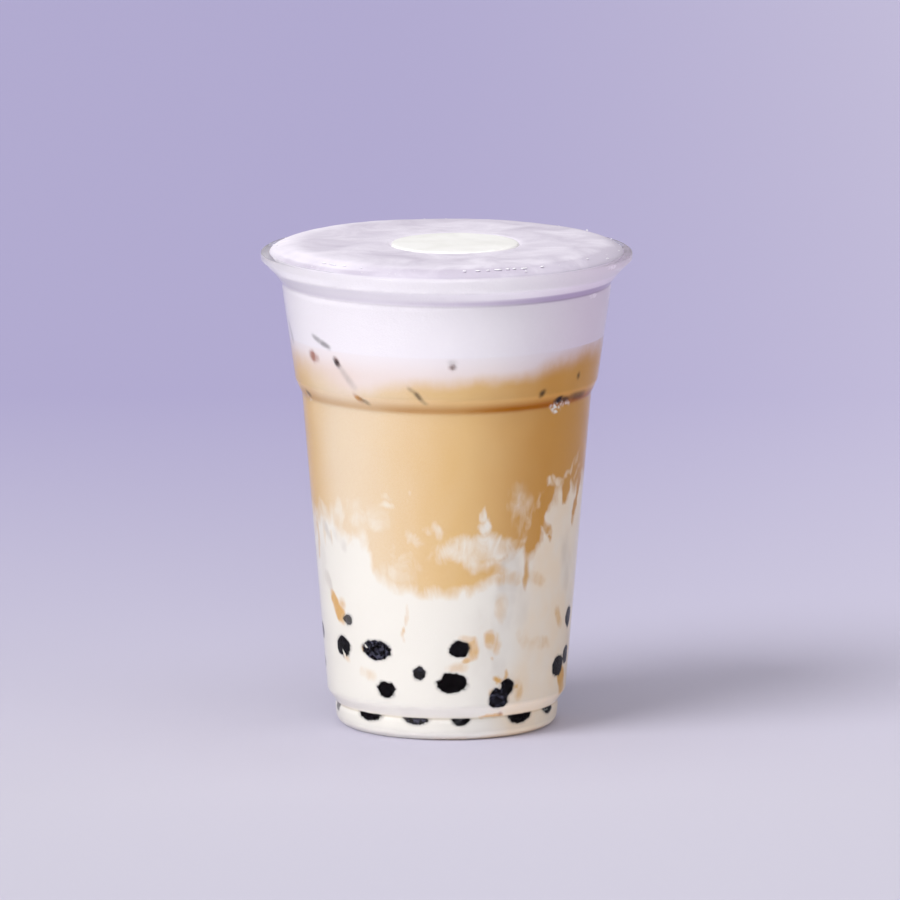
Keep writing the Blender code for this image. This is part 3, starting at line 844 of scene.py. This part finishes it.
def line_layers(wall):
    """The painted shade along the ledge's dark line and above the collar's crease, both darker to
    the right, and the painted shade in the heel's crease.
    """
    around = ramp(np.abs(wall.angle), 172, 112)
    rise = wall.height - LEDGE_SHADE_LINE
    ledge = smooth(1 - np.abs(rise) / np.where(rise > 0, 2.8, 1.1))
    # The painted shade deepens towards the right, the side away from the light.
    to_right = 0.22 * ramp(wall.angle, -34, -14) + 0.36 * ramp(wall.angle, 2, 26)
    ledge *= 0.42 + to_right * around
    widened = 0.3 + 0.3 * ramp(wall.angle, 5, 45)
    crease = smooth(1 - (np.abs(wall.height - COLLAR_LINE) - widened) / 0.8)
    # The collar's painted shade is darker to the right, the side away from the light.
    crease *= 0.12 + 0.88 * ramp(wall.angle, -30, 45) * around
    heel = 0.6 * smooth(1 - np.abs(wall.height - CREASE_LINE) / 0.6)
    return {"ledge": ledge, "crease": np.maximum(crease, heel)}


def mark_layers(wall):
    """Syrup, with a painted amber refraction at the foot's rim; russet marks; the edges of the
    ice, with painted shade on the ledge; painted sparkles on them; and painted grey shade in the
    milk.
    """
    syrup = wall.strokes(SYRUP_MARKS, *wall.shifted)
    # Painted refraction: an amber edge where the foot's rim bends the light, at the front and
    # right.
    foot_rim_refraction = 0.30 * ramp(wall.height, 1.6, 0.4) * ramp(wall.angle, -30, 10)
    sparks = ramp(drift(wall.points, 0.8, 7)[:, 0], -0.1, 0.15)
    broken = wall.angle + 0.35 * wall.fine[:, 0] * wall.degree
    return {
        "syrup": np.maximum(syrup, foot_rim_refraction),
        "russet": wall.strokes(RUSSET_MARKS, wall.shifted[0], wall.height),
        "ice": wall.strokes(ICE_EDGES_AND_LEDGE_SHADE, broken, wall.height),
        "sparkle": wall.strokes(SPARKLES, wall.angle, wall.height) * sparks,
        "veil": wall.strokes(GREY_SHADE_SMEARS, *wall.bent) * (1 + 0.9 * wall.eddies[:, 1]),
    }


def patch_amount(patch, wall, lumps):
    """A ramp across a pearl's outline, in millimetres: 1 inside it and 0 outside."""
    across = turned_from(patch.angle, wall.angle) * wall.radius * np.pi / 180
    off = np.hypot(across / patch.half_width, (wall.height - patch.height) / patch.half_height)
    inside = (1 - off) * min(patch.half_width, patch.half_height) - lumps
    return np.clip(0.5 + inside / PATCH_RAMP, 0, 1)


def back_patches():
    """Patches of the pearls whose nodes lie past the sides of the cup."""
    patches = []
    for name in PEARL_NODES[len(PEARL_PATCHES) + len(HEEL_PATCHES):]:
        low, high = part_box(name)
        middle = (low + high) / 2
        around = front_angle(middle.x, middle.y)
        if middle.z < HEEL_TOP:
            patches.append(HeelPatch(around, *BACK_HEEL_PATCH))
        else:
            patches.append(Patch(around, middle.z * 1000, *BACK_PATCH))
    return patches


def pearl_layers(wall):
    """Where the pearls show at the wall, how dark they are and how much pale speckle they have."""
    lumps = 0.42 * drift(wall.points, 2.3, 8)[:, 0] + 0.34 * drift(wall.points, 1.1, 9)[:, 0]
    pearl = np.zeros_like(wall.angle)
    dark = np.ones_like(wall.angle)
    bloom = np.zeros_like(wall.angle)
    for patch in [*PEARL_PATCHES, *HEEL_PATCHES, *back_patches()]:
        if isinstance(patch, HeelPatch):
            seat = Patch(patch.angle, CREASE_LINE, patch.half_width, patch.depth, 1.0, 0.0)
            cut_off = np.clip(0.5 + (CREASE_LINE - wall.height) / 0.6, 0, 1)
            amount = np.minimum(patch_amount(seat, wall, 0.5 * lumps), cut_off)
        else:
            amount = patch_amount(patch, wall, lumps)
        darkest = amount > pearl
        dark = np.where(darkest, patch.dark, dark)
        bloom = np.where(darkest, patch.bloom, bloom)
        pearl = np.maximum(pearl, amount)
    pearl = pearl - wall.strokes(PEARL_NOTCHES, wall.angle, wall.height)
    return {"pearl": pearl, "dark": dark, "bloom": bloom}


def underside_light_share(points):
    """1 where the wall turns under towards the foot: there the colour is painted lighter, as
    painted light on faces that get less light.
    """
    step = 0.0002
    height = points[:, 2]
    slope = (drink_radius(height + step) - drink_radius(height - step)) / (2 * step)
    return ramp(slope, 0.15, 0.75)


def paint(mesh, inner_pearl=0.0):
    """Lay the drink's colours on a mesh as attributes between 0 and 1."""
    points = get_points(mesh)
    wall = Wall(points)
    layers = {
        "milk": milk_layer(wall),
        "warm": warm_tint_and_shade_layer(wall),
        "tea_depth": depth_and_shade_layer(wall),
        "foam": foam_layer(wall),
        "blend": blend_layer(wall),
        # Painted shade on the foam's right side and round to the back.
        "mauve": hump(wall.angle, 14, 69, 90, 150),
        # Painted light on the faces where the wall turns under.
        "fresh": underside_light_share(points),
        **line_layers(wall),
        **mark_layers(wall),
        **pearl_layers(wall),
    }
    near_wall = wall.radius > drink_radius(points[:, 2]) * 1000 - NEAR_WALL
    layers["pearl"] = np.where(near_wall, layers["pearl"], inner_pearl)
    for name, values in layers.items():
        set_layer(mesh, name, values)


# --- Materials ---------------------------------------------------------------------------

class Look:
    """A material and short ways to add and join its nodes."""

    def __init__(self, name):
        self.material = bpy.data.materials.new(name)
        self.material.use_nodes = True
        self.tree = self.material.node_tree
        self.shader = self.tree.nodes["Principled BSDF"]

    def put(self, value, socket):
        if isinstance(value, bpy.types.NodeSocket):
            self.tree.links.new(value, socket)
        elif hasattr(value, "__len__") and len(value) == 3 and socket.type == "RGBA":
            socket.default_value = (*value, 1.0)
        else:
            socket.default_value = value

    def add(self, kind, **values):
        """A node of a kind, with values for its named inputs."""
        node = self.tree.nodes.new("ShaderNode" + kind)
        for name, value in values.items():
            self.put(value, node.inputs[name])
        return node

    def finish(self, colour, **values):
        """Give the shader its colour and other values, and return the material."""
        self.put(colour, self.shader.inputs["Base Color"])
        for name, value in values.items():
            self.put(value, self.shader.inputs[name.replace("_", " ")])
        return self.material

    def attribute(self, name):
        node = self.add("Attribute")
        node.attribute_name = name
        return node.outputs["Fac"]

    def math(self, operation, first, second, third=0.0):
        node = self.add("Math")
        node.operation = operation
        for value, socket in zip((first, second, third), node.inputs):
            self.put(value, socket)
        return node.outputs[0]

    def mix(self, share, first, second, blend="MIX"):
        """Two colours mixed by a share, or by the attribute of that name."""
        if isinstance(share, str):
            share = self.attribute(share)
        node = self.add("Mix")
        node.data_type = "RGBA"
        node.blend_type = blend
        self.put(share, node.inputs[0])
        self.put(first, node.inputs[6])
        self.put(second, node.inputs[7])
        return node.outputs[2]

    def band(self, value, start, end, low=0.0, high=1.0, kind="SMOOTHSTEP"):
        node = self.add("MapRange")
        node.interpolation_type = kind
        for entry, socket in zip((value, start, end, low, high), node.inputs):
            self.put(entry, socket)
        return node.outputs[0]

    def line(self, value, start, end):
        return self.band(value, start, end, kind="LINEAR")

    def scale(self, share, low, middle, high):
        """A colour on a scale of three, by a share between 0 and 1."""
        lower = self.mix(self.line(share, 0.0, 0.5), low, middle)
        return self.mix(self.line(share, 0.5, 1.0), lower, high)

    def place(self, stretch=1.0):
        """Where a point lies on the object, stretched upwards."""
        mapping = self.add("Mapping", Scale=(1.0, 1.0, 1.0 / stretch))
        self.put(self.add("TexCoord").outputs["Object"], mapping.inputs["Vector"])
        return mapping.outputs["Vector"]

    def frayed(self, name, swirl, reach, spread=0.0):
        """An attribute whose soft edges are broken up by a swirl."""
        share = self.attribute(name)
        window = self.math("MULTIPLY", share, self.math("SUBTRACT", 1.0, share))
        reach = self.math("MULTIPLY_ADD", window, 4 * reach, spread)
        return self.math("MULTIPLY_ADD", self.math("SUBTRACT", swirl, 0.5), reach, share)

    def noise(self, size, detail=3.0, stretch=1.0, roughness=0.5, distortion=0.0):
        """Noise of a size in metres, stretched upwards."""
        node = self.add("TexNoise", Vector=self.place(stretch), Scale=1.0 / size,
                        Detail=detail, Roughness=roughness, Distortion=distortion)
        return node.outputs["Fac"]

    def bubbles(self, size):
        """Distance to the nearest of many small cells."""
        node = self.add("TexVoronoi", Vector=self.place(), Scale=1.0 / size)
        return node.outputs["Distance"]

    def bump(self, height, distance, strength):
        node = self.add("Bump", Strength=strength, Distance=distance, Height=height)
        self.put(node.outputs["Normal"], self.shader.inputs["Normal"])


def foam_colour(look, drink):
    """The foam's side: lavender, with painted shade towards its right side, warmer where tea has
    risen.
    """
    cap = look.mix("blend", drink.foam, drink.blend)
    return look.mix("mauve", cap, drink.mauve, "MULTIPLY")


def with_painted_underside_light(look, colour, painted_light_dim, clear=1.0):
    """Dim a colour on the wall, and paint it lighter where the wall turns under: painted light on
    the faces that get less light.
    """
    shade = look.mix("fresh", painted_light_dim, (clear, clear, clear))
    return look.mix(1.0, colour, shade, "MULTIPLY")


def drink_material(name):
    """The drink's side, from milk through tea to foam, laid out by its attributes."""
    drink = bpy.context.scene.milktea_drink
    topping = bpy.context.scene.milktea_topping
    look = Look(name)
    fine = look.noise(0.0013, detail=4.0, stretch=1.8)
    grain = look.noise(0.0004, detail=2.0)
    swirl = look.noise(0.0044, detail=5.0, stretch=2.0, roughness=0.56, distortion=1.2)

    # Tea from pale to deep, the deep right side partly painted shade.
    depth = look.attribute("tea_depth")
    tea = look.scale(depth, drink.pale_tea, drink.fair_tea, drink.deep_tea)
    tea = look.mix(look.band(grain, 0.3, 0.8, 0.0, 0.10), tea, drink.deep_tea)
    milk = look.line(look.frayed("milk", swirl, 1.3, 0.25), 0.08, 0.92)
    # Milk, warmer on the right partly as painted shade.
    colour = look.mix(milk, tea, look.mix("warm", drink.milk, drink.warm_milk))
    # Smears of painted grey shade in the milk.
    colour = look.mix("veil", colour, drink.veil)
    # Painted shade along the ledge's dark line.
    colour = look.mix("ledge", colour, drink.ledge, "MULTIPLY")
    foam = look.frayed("foam", fine, 0.3)
    colour = look.mix(foam, colour, foam_colour(look, drink))

    syrup = look.line(look.frayed("syrup", swirl, 1.2), 0.04, 1.00)
    colour = look.mix(syrup, colour, drink.syrup)
    colour = look.mix("russet", colour, drink.russet)
    colour = look.mix(look.frayed("ice", fine, 0.3), colour, drink.ice)
    colour = look.mix("sparkle", colour, SPARKLE_COLOUR)

    pearl = look.attribute("pearl")
    colour = look.mix(look.band(pearl, 0.05, 0.50, 0.0, 0.30), colour, drink.ice)
    # Painted light: the drink is painted brighter where the wall turns under.
    colour = with_painted_underside_light(look, colour, drink.painted_light_dim, UNDERSIDE_PAINTED_LIGHT)
    # Painted shade at the creases.
    colour = look.mix("crease", colour, drink.heel_line, "MULTIPLY")
    crumbs = look.noise(0.0009, detail=5.0, roughness=0.6)
    outline = look.math("MULTIPLY_ADD", crumbs, 0.6, pearl)
    patch = look.band(outline, 0.66, 0.92)
    patch = look.math("MULTIPLY", patch, look.attribute("dark"))
    pale = look.band(look.noise(0.0011, detail=5.0, roughness=0.7), 0.46, 0.68)
    bloom = look.math("MULTIPLY", pale, look.attribute("bloom"))
    colour = look.mix(patch, colour, look.mix(bloom, topping.pearl, topping.bloom))
    return look.finish(colour, Roughness=0.55, Specular_IOR_Level=0.0)


def foam_material():
    """Lavender foam: the drink's colours at its side and soft drifts on its top."""
    drink = bpy.context.scene.milktea_drink
    topping = bpy.context.scene.milktea_topping
    look = Look("lavender_foam")
    # Painted light: the foam's side is dimmed except where the wall turns under.
    side = with_painted_underside_light(look, foam_colour(look, drink), drink.painted_light_dim)
    # Painted shade above the collar's crease.
    side = look.mix("crease", side, drink.collar_line, "MULTIPLY")
    side = look.mix("ice", side, drink.ice)

    drifts = look.noise(0.012, detail=5.0, roughness=0.55, distortion=0.6)
    cells = look.bubbles(0.0007)
    swing = look.math("SUBTRACT", drifts, 0.5)
    # Painted light and shade on the top, broken up by soft drifts.
    tone = look.math("MULTIPLY_ADD", swing, 1.3, look.attribute("tone"))
    tone = look.math("ADD", tone, look.band(cells, 0.0, 0.35, 0.10, 0.0))
    top = look.scale(tone, topping.foam_light, topping.foam_top, topping.foam_shade)
    relief = look.math("MULTIPLY_ADD", cells, 0.12, look.noise(0.006, detail=4.0))
    look.bump(relief, 0.00035, 0.6)
    colour = look.mix("top", side, top)
    return look.finish(colour, Roughness=0.55, Specular_IOR_Level=0.12)


def cream_material():
    """Thick smooth cream with faint folds."""
    topping = bpy.context.scene.milktea_topping
    look = Look("cream")
    folds = look.noise(0.007, detail=2.0)
    share = look.band(folds, 0.35, 0.7, 0.0, 0.5)
    look.bump(folds, 0.0004, 0.5)
    colour = look.mix(share, topping.cream, topping.cream_fold)
    return look.finish(colour, Roughness=0.42, Specular_IOR_Level=0.15)


def bubble_material():
    """Wet, pale bubbles; the white of the long dashes is a painted highlight on the wet rim."""
    look = Look("wet_bubbles")
    colour = look.mix(look.noise(0.002), from_hex("FFFFFF"), from_hex("F6F2FA"))
    return look.finish(colour, Roughness=0.08)


def clear_material(cup):
    """Clear plastic that lets the lamps through to what it covers."""
    look = Look("clear_plastic")
    path = look.add("LightPath")
    through = look.add("BsdfTransparent")
    mix = look.add("MixShader", Fac=path.outputs["Is Shadow Ray"])
    look.put(look.shader.outputs["BSDF"], mix.inputs[1])
    look.put(through.outputs["BSDF"], mix.inputs[2])
    surface = look.tree.nodes["Material Output"].inputs["Surface"]
    look.put(mix.outputs["Shader"], surface)
    return look.finish((1.0, 1.0, 1.0), Transmission_Weight=1.0,
                       Roughness=cup.roughness, IOR=cup.ior)


def floor_material(stage):
    """A pale floor that deepens to lavender behind the cup."""
    look = Look("studio_floor")
    split = look.add("SeparateXYZ", Vector=look.place())
    back = look.line(split.outputs["Y"], -0.10, 0.52)
    aside = look.band(split.outputs["X"], -0.05, 0.35)
    far = look.mix(aside, stage.far_floor, stage.side_floor)
    colour = look.mix(back, stage.near_floor, far)
    return look.finish(colour, Roughness=0.9, Specular_IOR_Level=0.0)


# --- Operators: one for each piece or group of like pieces, and one for the stage ----------

class MILKTEA_OT_cup(bpy.types.Operator):
    """Turn the clear cup from its outline"""
    bl_idname = "milktea.cup"
    bl_label = "Clear cup"

    def execute(self, context):
        cup = context.scene.milktea_cup
        inside = cup_inside(cup.wall, cup.lip_radius, cup.height)
        outside = cup_outline(cup.lip_radius, cup.height)
        cage = spun(inside[::-1] + outside[1:], cup.steps)
        shell = new_piece("cup_shell", cage, clear_material(cup), sharp=50)
        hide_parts("cup")
        return {"FINISHED"}


def drink_level(name, node, top, bottom, foot=()):
    """One level of the drink, painted, in place of its node."""
    drink = bpy.context.scene.milktea_drink
    shares = (0.0, 0.25, 0.5, 0.75, 0.92)
    upper = [(share * float(drink_radius(top.mean)), top.mean) for share in shares]
    heights = rows_between(top.mean, bottom.mean, drink.row_height)
    side = along_wall([top.mean, *heights, bottom.mean])
    lower = [(share * side[-1][0], bottom.mean) for share in shares[::-1]]
    cage = spun(upper + side + (list(foot) or lower), drink.columns)
    piece = new_piece(name, cage, drink_material(node), sharp=40)
    wave(piece.data, top, bottom)
    paint(piece.data)
    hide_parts(node)


class MILKTEA_OT_milk(bpy.types.Operator):
    """Fill the bottom of the cup with milk, down to its recessed floor"""
    bl_idname = "milktea.milk"
    bl_label = "Milk"

    def execute(self, context):
        row_height = context.scene.milktea_drink.row_height
        outline = [point for point in DRINK_OUTLINE if point[1] < HEEL_LEVEL.mean]
        side = [point for point in outline if point[0] > RING_RADIUS]
        heights = np.arange(HEEL_LEVEL.mean, side[-1][1], -row_height)[1:]
        foot = [point for point in outline if point[1] < heights[-1] or point[0] < RING_RADIUS]
        drink_level("milk_body", "milk", MILK_TOP, HEEL_LEVEL, along_wall(heights) + foot)
        return {"FINISHED"}


class MILKTEA_OT_tea(bpy.types.Operator):
    """Lay the milk tea over the milk, past the ledge"""
    bl_idname = "milktea.tea"
    bl_label = "Milk tea"

    def execute(self, context):
        drink_level("tea_body", "milk_tea", BLEND_BASE, MILK_TOP)
        return {"FINISHED"}


class MILKTEA_OT_blend(bpy.types.Operator):
    """Lay the band where foam and tea run together"""
    bl_idname = "milktea.blend"
    bl_label = "Blended band"

    def execute(self, context):
        drink_level("blend_band", "foam_blend", FOAM_BASE, BLEND_BASE)
        return {"FINISHED"}


class MILKTEA_OT_foam(bpy.types.Operator):
    """Raise the foam cap to its domed top"""
    bl_idname = "milktea.foam"
    bl_label = "Foam cap"

    def execute(self, context):
        base = FOAM_BASE.mean
        rim = RIM_RADIUS - REACH_INTO_WALL * 3
        steps = [step / FOAM_RINGS for step in range(FOAM_RINGS + 1)]
        shares = [1 - (1 - step) ** FOAM_CROWDING for step in steps]
        dome = [(share * rim, foam_height(share)) for share in shares]
        heights = rows_between(CUP_HEIGHT, base, context.scene.milktea_drink.row_height)
        side = along_wall([*heights, base])
        floor = [(share * side[-1][0], base) for share in (0.9, 0.6, 0.3, 0.0)]
        cage = spun(dome + side + floor, FOAM_FACETS)
        foam = new_piece("foam_top", cage, foam_material(), sharp=40)
        self.settle(foam.data)
        paint(foam.data)
        points = get_points(foam.data)
        set_layer(foam.data, "top", ramp(points[:, 2], CUP_HEIGHT, CUP_HEIGHT + 0.0002))
        set_layer(foam.data, "tone", self.tone(points / RIM_RADIUS))
        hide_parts("foam_cap")
        return {"FINISHED"}

    def tone(self, points):
        """How dark the top is painted: painted light at the left rim, painted shade at the right
        rim and along the front rim by the lip, and a little lighter round the cream.
        """
        share = np.hypot(points[:, 0], points[:, 1])
        left = ramp(share, 0.78, 0.94) * ramp(points[:, 0], -0.25, -0.75)
        right = ramp(share, 0.86, 0.96) * ramp(points[:, 0], 0.20, 0.70)
        front = ramp(share, 0.90, 0.95) + 1.2 * ramp(share, 0.965, 0.985)
        front *= 0.30 * ramp(points[:, 1], 0.0, -0.40)
        cream = CREAM_CENTRE / RIM_RADIUS
        off = np.hypot(points[:, 0] - cream.x, points[:, 1] - cream.y)
        halo = smooth(1 - (off - CREAM_RADIUS / RIM_RADIUS) / 0.06)
        return 0.7 - 0.52 * left + 0.32 * right + front - 0.16 * halo

    def settle(self, mesh):
        """Give the top its shallow drifts and the hollow that the cream lies in."""
        points = get_points(mesh)
        on_top = points[:, 2] > CUP_HEIGHT + 0.0001
        share = np.hypot(points[:, 0], points[:, 1]) / RIM_RADIUS
        swell = drift(points, 14, 21)[:, 2] + 0.4 * drift(points, 4, 22)[:, 2]
        off = np.hypot(points[:, 0] - CREAM_CENTRE.x, points[:, 1] - CREAM_CENTRE.y)
        hollow = CREAM_HOLLOW * smooth((CREAM_RADIUS + 0.0004 - off) / 0.0010)
        lowered = FOAM_SINK + FOAM_SWELL * swell * ramp(share, 1, 0.9) + hollow
        points[:, 2] -= np.where(on_top, lowered * ramp(share, 1, 0.95), 0)
        set_points(mesh, points)


class MILKTEA_OT_cream(bpy.types.Operator):
    """Pour the disc of cream on the foam"""
    bl_idname = "milktea.cream"
    bl_label = "Cream disc"

    def execute(self, context):
        top = CREAM_HIGH.z
        shares = [step / CREAM_RINGS for step in range(CREAM_RINGS + 1)]
        face = [(CREAM_RADIUS * CREAM_FLAT * share, top - CREAM_DOME * share ** 2)
                for share in shares]
        edge = rounded([face[-1], (CREAM_RADIUS, top - CREAM_EDGE_DROP, CREAM_EDGE_ROUND),
                        (CREAM_RADIUS - CREAM_UNDERCUT, CREAM_LOW.z)])[1:]
        cage = spun(face + edge + [(0.0, CREAM_LOW.z)], CREAM_FACETS)
        cream = new_piece("cream_disc", cage, cream_material())
        points = get_points(cream.data)
        wander = drift(points, 16, 31)[:, 0]
        sunk = CREAM_SINK * (1 + drift(points, 6, 32)[:, 2])
        points[:, :2] *= (1 - CREAM_WANDER + CREAM_WANDER * wander)[:, None]
        points[:, 2] -= sunk * (points[:, 2] > top - 0.0003)
        set_points(cream.data, points + [CREAM_CENTRE.x, CREAM_CENTRE.y, 0.0])
        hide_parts("cream_spot")
        return {"FINISHED"}


class MILKTEA_OT_pearls(bpy.types.Operator):
    """Set the tapioca pearls against the wall, flattened where they touch it"""
    bl_idname = "milktea.pearls"
    bl_label = "Tapioca pearls"

    def execute(self, context):
        seed = context.scene.milktea_topping.seed
        cage = bmesh.new()
        for number, name in enumerate(PEARL_NODES):
            self.add_pearl(cage, name, seed + number)
        pearls = new_piece("tapioca_pearls", cage, drink_material("tapioca"))
        self.press(pearls.data)
        paint(pearls.data, inner_pearl=1.0)
        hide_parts(*PEARL_NODES)
        return {"FINISHED"}

    def add_pearl(self, cage, name, seed):
        low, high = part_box(name)
        middle = (low + high) / 2
        made = bmesh.ops.create_icosphere(cage, subdivisions=4, radius=(high.z - low.z) / 2,
                                          matrix=Matrix.Translation(middle))
        for vertex in made["verts"]:
            away = vertex.co - middle
            lump = noise.noise(away * LUMPS_PER_METRE + Vector((seed, 0, 0)))
            vertex.co = middle + away * (PEARL_SIZE + PEARL_LUMP * lump)

    def press(self, mesh):
        """Press each pearl just past the milk's side, where it shows at the wall."""
        points = get_points(mesh)
        reach = np.hypot(points[:, 0], points[:, 1])
        limit = drink_radius(points[:, 2])
        outside = smooth((reach - limit + PRESS_ZONE) / PRESS_SOFT)
        pressed = (limit + PRESS_PAST) * outside + reach * (1 - outside)
        stretch = np.where(reach > limit - PRESS_ZONE, pressed / reach, 1.0)
        points[:, :2] *= stretch[:, None]
        set_points(mesh, points)


class MILKTEA_OT_bubbles(bpy.types.Operator):
    """Scatter small clear bubbles along the foam's rim, and white dashes that are painted
    highlights
    """
    bl_idname = "milktea.bubbles"
    bl_label = "Rim bubbles"

    def execute(self, context):
        topping = context.scene.milktea_topping
        chance = random.Random(topping.seed)
        cage = bmesh.new()
        for _ in range(topping.bubbles):
            size = BEAD_SIZE[0] + BEAD_SIZE[1] * chance.random() ** 3
            share = 1 - BEAD_PLACE[0] - BEAD_PLACE[1] * chance.random() ** 2
            self.add_bead(cage, chance.uniform(-math.pi, math.pi), share, size, 1.0)
        # White dashes along the rim: wet beads whose white is a painted highlight.
        for degrees, length in HIGHLIGHT_DASHES:
            share = DASH_PLACE[0] + DASH_PLACE[1] * chance.random()
            size = DASH_SIZE[0] + DASH_SIZE[1] * chance.random()
            self.add_bead(cage, math.radians(degrees), share, size, length * 0.001 / size / 2)
        bubbles = new_piece("rim_bubbles", cage, bubble_material())
        return {"FINISHED"}

    def add_bead(self, cage, bearing, share, size, stretch):
        """A bead of foam on the rim, stretched along it."""
        height = foam_height(share) - FOAM_SINK + size * BEAD_RISE
        place = Matrix.Translation((0.0, -share * RIM_RADIUS, height))
        form = Matrix.Diagonal((stretch, 1.0, BEAD_FLATNESS, 1.0))
        bmesh.ops.create_icosphere(cage, subdivisions=2, radius=size,
                                   matrix=Matrix.Rotation(bearing, 4, "Z") @ place @ form)


def aimed(name, data, place, direction):
    """A lamp or camera at a place, looking in a direction."""
    holder = bpy.data.objects.new(name, data)
    holder.location = place
    holder.rotation_euler = direction.to_track_quat("-Z", "Y").to_euler()
    bpy.context.scene.collection.objects.link(holder)
    return holder


class MILKTEA_OT_stage(bpy.types.Operator):
    """Set the floor, the lamps and the camera"""
    bl_idname = "milktea.stage"
    bl_label = "Stage"

    def execute(self, context):
        stage = context.scene.milktea_stage
        self.add_floor(stage)
        self.add_world(context.scene, stage)
        for name, setting, azimuth, elevation, widening in SUNS:
            self.add_sun(name, math.radians(azimuth), math.radians(elevation),
                         getattr(stage, setting), widening * stage.key_size)
        self.add_edge_lamp(stage)
        self.add_camera(context.scene, stage)
        return {"FINISHED"}

    def add_floor(self, stage):
        cage = bmesh.new()
        bmesh.ops.create_grid(cage, x_segments=1, y_segments=1, size=FLOOR_HALF_WIDTH)
        new_object("studio_floor", cage, floor_material(stage))

    def add_world(self, scene, stage):
        world = bpy.data.worlds.new("studio")
        world.use_nodes = True
        background = world.node_tree.nodes["Background"]
        background.inputs["Color"].default_value = (*from_hex(SURROUNDINGS), 1.0)
        background.inputs["Strength"].default_value = stage.fill
        scene.world = world
        scene.view_settings.view_transform = "Standard"

    def add_sun(self, name, azimuth, elevation, strength, size):
        """A broad, even light from a side, measured from the front, and a height."""
        sun = bpy.data.lights.new(name, "SUN")
        sun.energy = strength
        sun.angle = size
        level = math.cos(elevation)
        place = Vector((level * math.sin(azimuth), -level * math.cos(azimuth),
                        math.sin(elevation)))
        aimed(name, sun, place, -place)

    def add_edge_lamp(self, stage):
        place, target, size = EDGE_LAMP
        lamp = bpy.data.lights.new("edge", "AREA")
        lamp.shape = "RECTANGLE"
        lamp.size, lamp.size_y = size
        lamp.energy = stage.edge_power
        aimed("edge", lamp, place, Vector(target) - Vector(place))

    def add_camera(self, scene, stage):
        camera = bpy.data.cameras.new("camera")
        camera.sensor_width = SENSOR_WIDTH
        camera.lens = SENSOR_WIDTH * stage.distance / stage.frame_width
        camera.clip_end = 20.0
        back = Vector((0.0, -math.cos(stage.elevation), math.sin(stage.elevation)))
        place = Vector(CAMERA_TARGET) + back * stage.distance
        scene.camera = aimed("camera", camera, place, -back)


class MILKTEA_PT_panel(bpy.types.Panel):
    """Lists the pieces of the milk tea"""
    bl_label = "Milk tea"
    bl_space_type = "VIEW_3D"
    bl_region_type = "UI"
    bl_category = "Milk tea"

    def draw(self, context):
        for operator in OPERATORS:
            self.layout.operator(operator.bl_idname)
        for name in SETTINGS:
            box = self.layout.box()
            group = getattr(context.scene, name)
            for key in group.__annotations__:
                box.prop(group, key)


SETTINGS = {
    "milktea_cup": MilkTeaCupSettings,
    "milktea_drink": MilkTeaDrinkSettings,
    "milktea_topping": MilkTeaToppingSettings,
    "milktea_stage": MilkTeaStageSettings,
}
OPERATORS = (
    MILKTEA_OT_stage, MILKTEA_OT_cup, MILKTEA_OT_milk, MILKTEA_OT_tea,
    MILKTEA_OT_blend, MILKTEA_OT_foam, MILKTEA_OT_cream, MILKTEA_OT_pearls,
    MILKTEA_OT_bubbles,
)


def register():
    for name, group in SETTINGS.items():
        bpy.utils.register_class(group)
        setattr(bpy.types.Scene, name, PointerProperty(type=group))
    for operator in OPERATORS:
        bpy.utils.register_class(operator)
    bpy.utils.register_class(MILKTEA_PT_panel)


def unregister():
    bpy.utils.unregister_class(MILKTEA_PT_panel)
    for operator in reversed(OPERATORS):
        bpy.utils.unregister_class(operator)
    for name, group in SETTINGS.items():
        delattr(bpy.types.Scene, name)
        bpy.utils.unregister_class(group)


def main():
    register()
    bpy.ops.milktea.stage()
    bpy.ops.milktea.cup()
    bpy.ops.milktea.milk()
    bpy.ops.milktea.tea()
    bpy.ops.milktea.blend()
    bpy.ops.milktea.foam()
    bpy.ops.milktea.cream()
    bpy.ops.milktea.pearls()
    bpy.ops.milktea.bubbles()


if __name__ == "__main__":
    main()
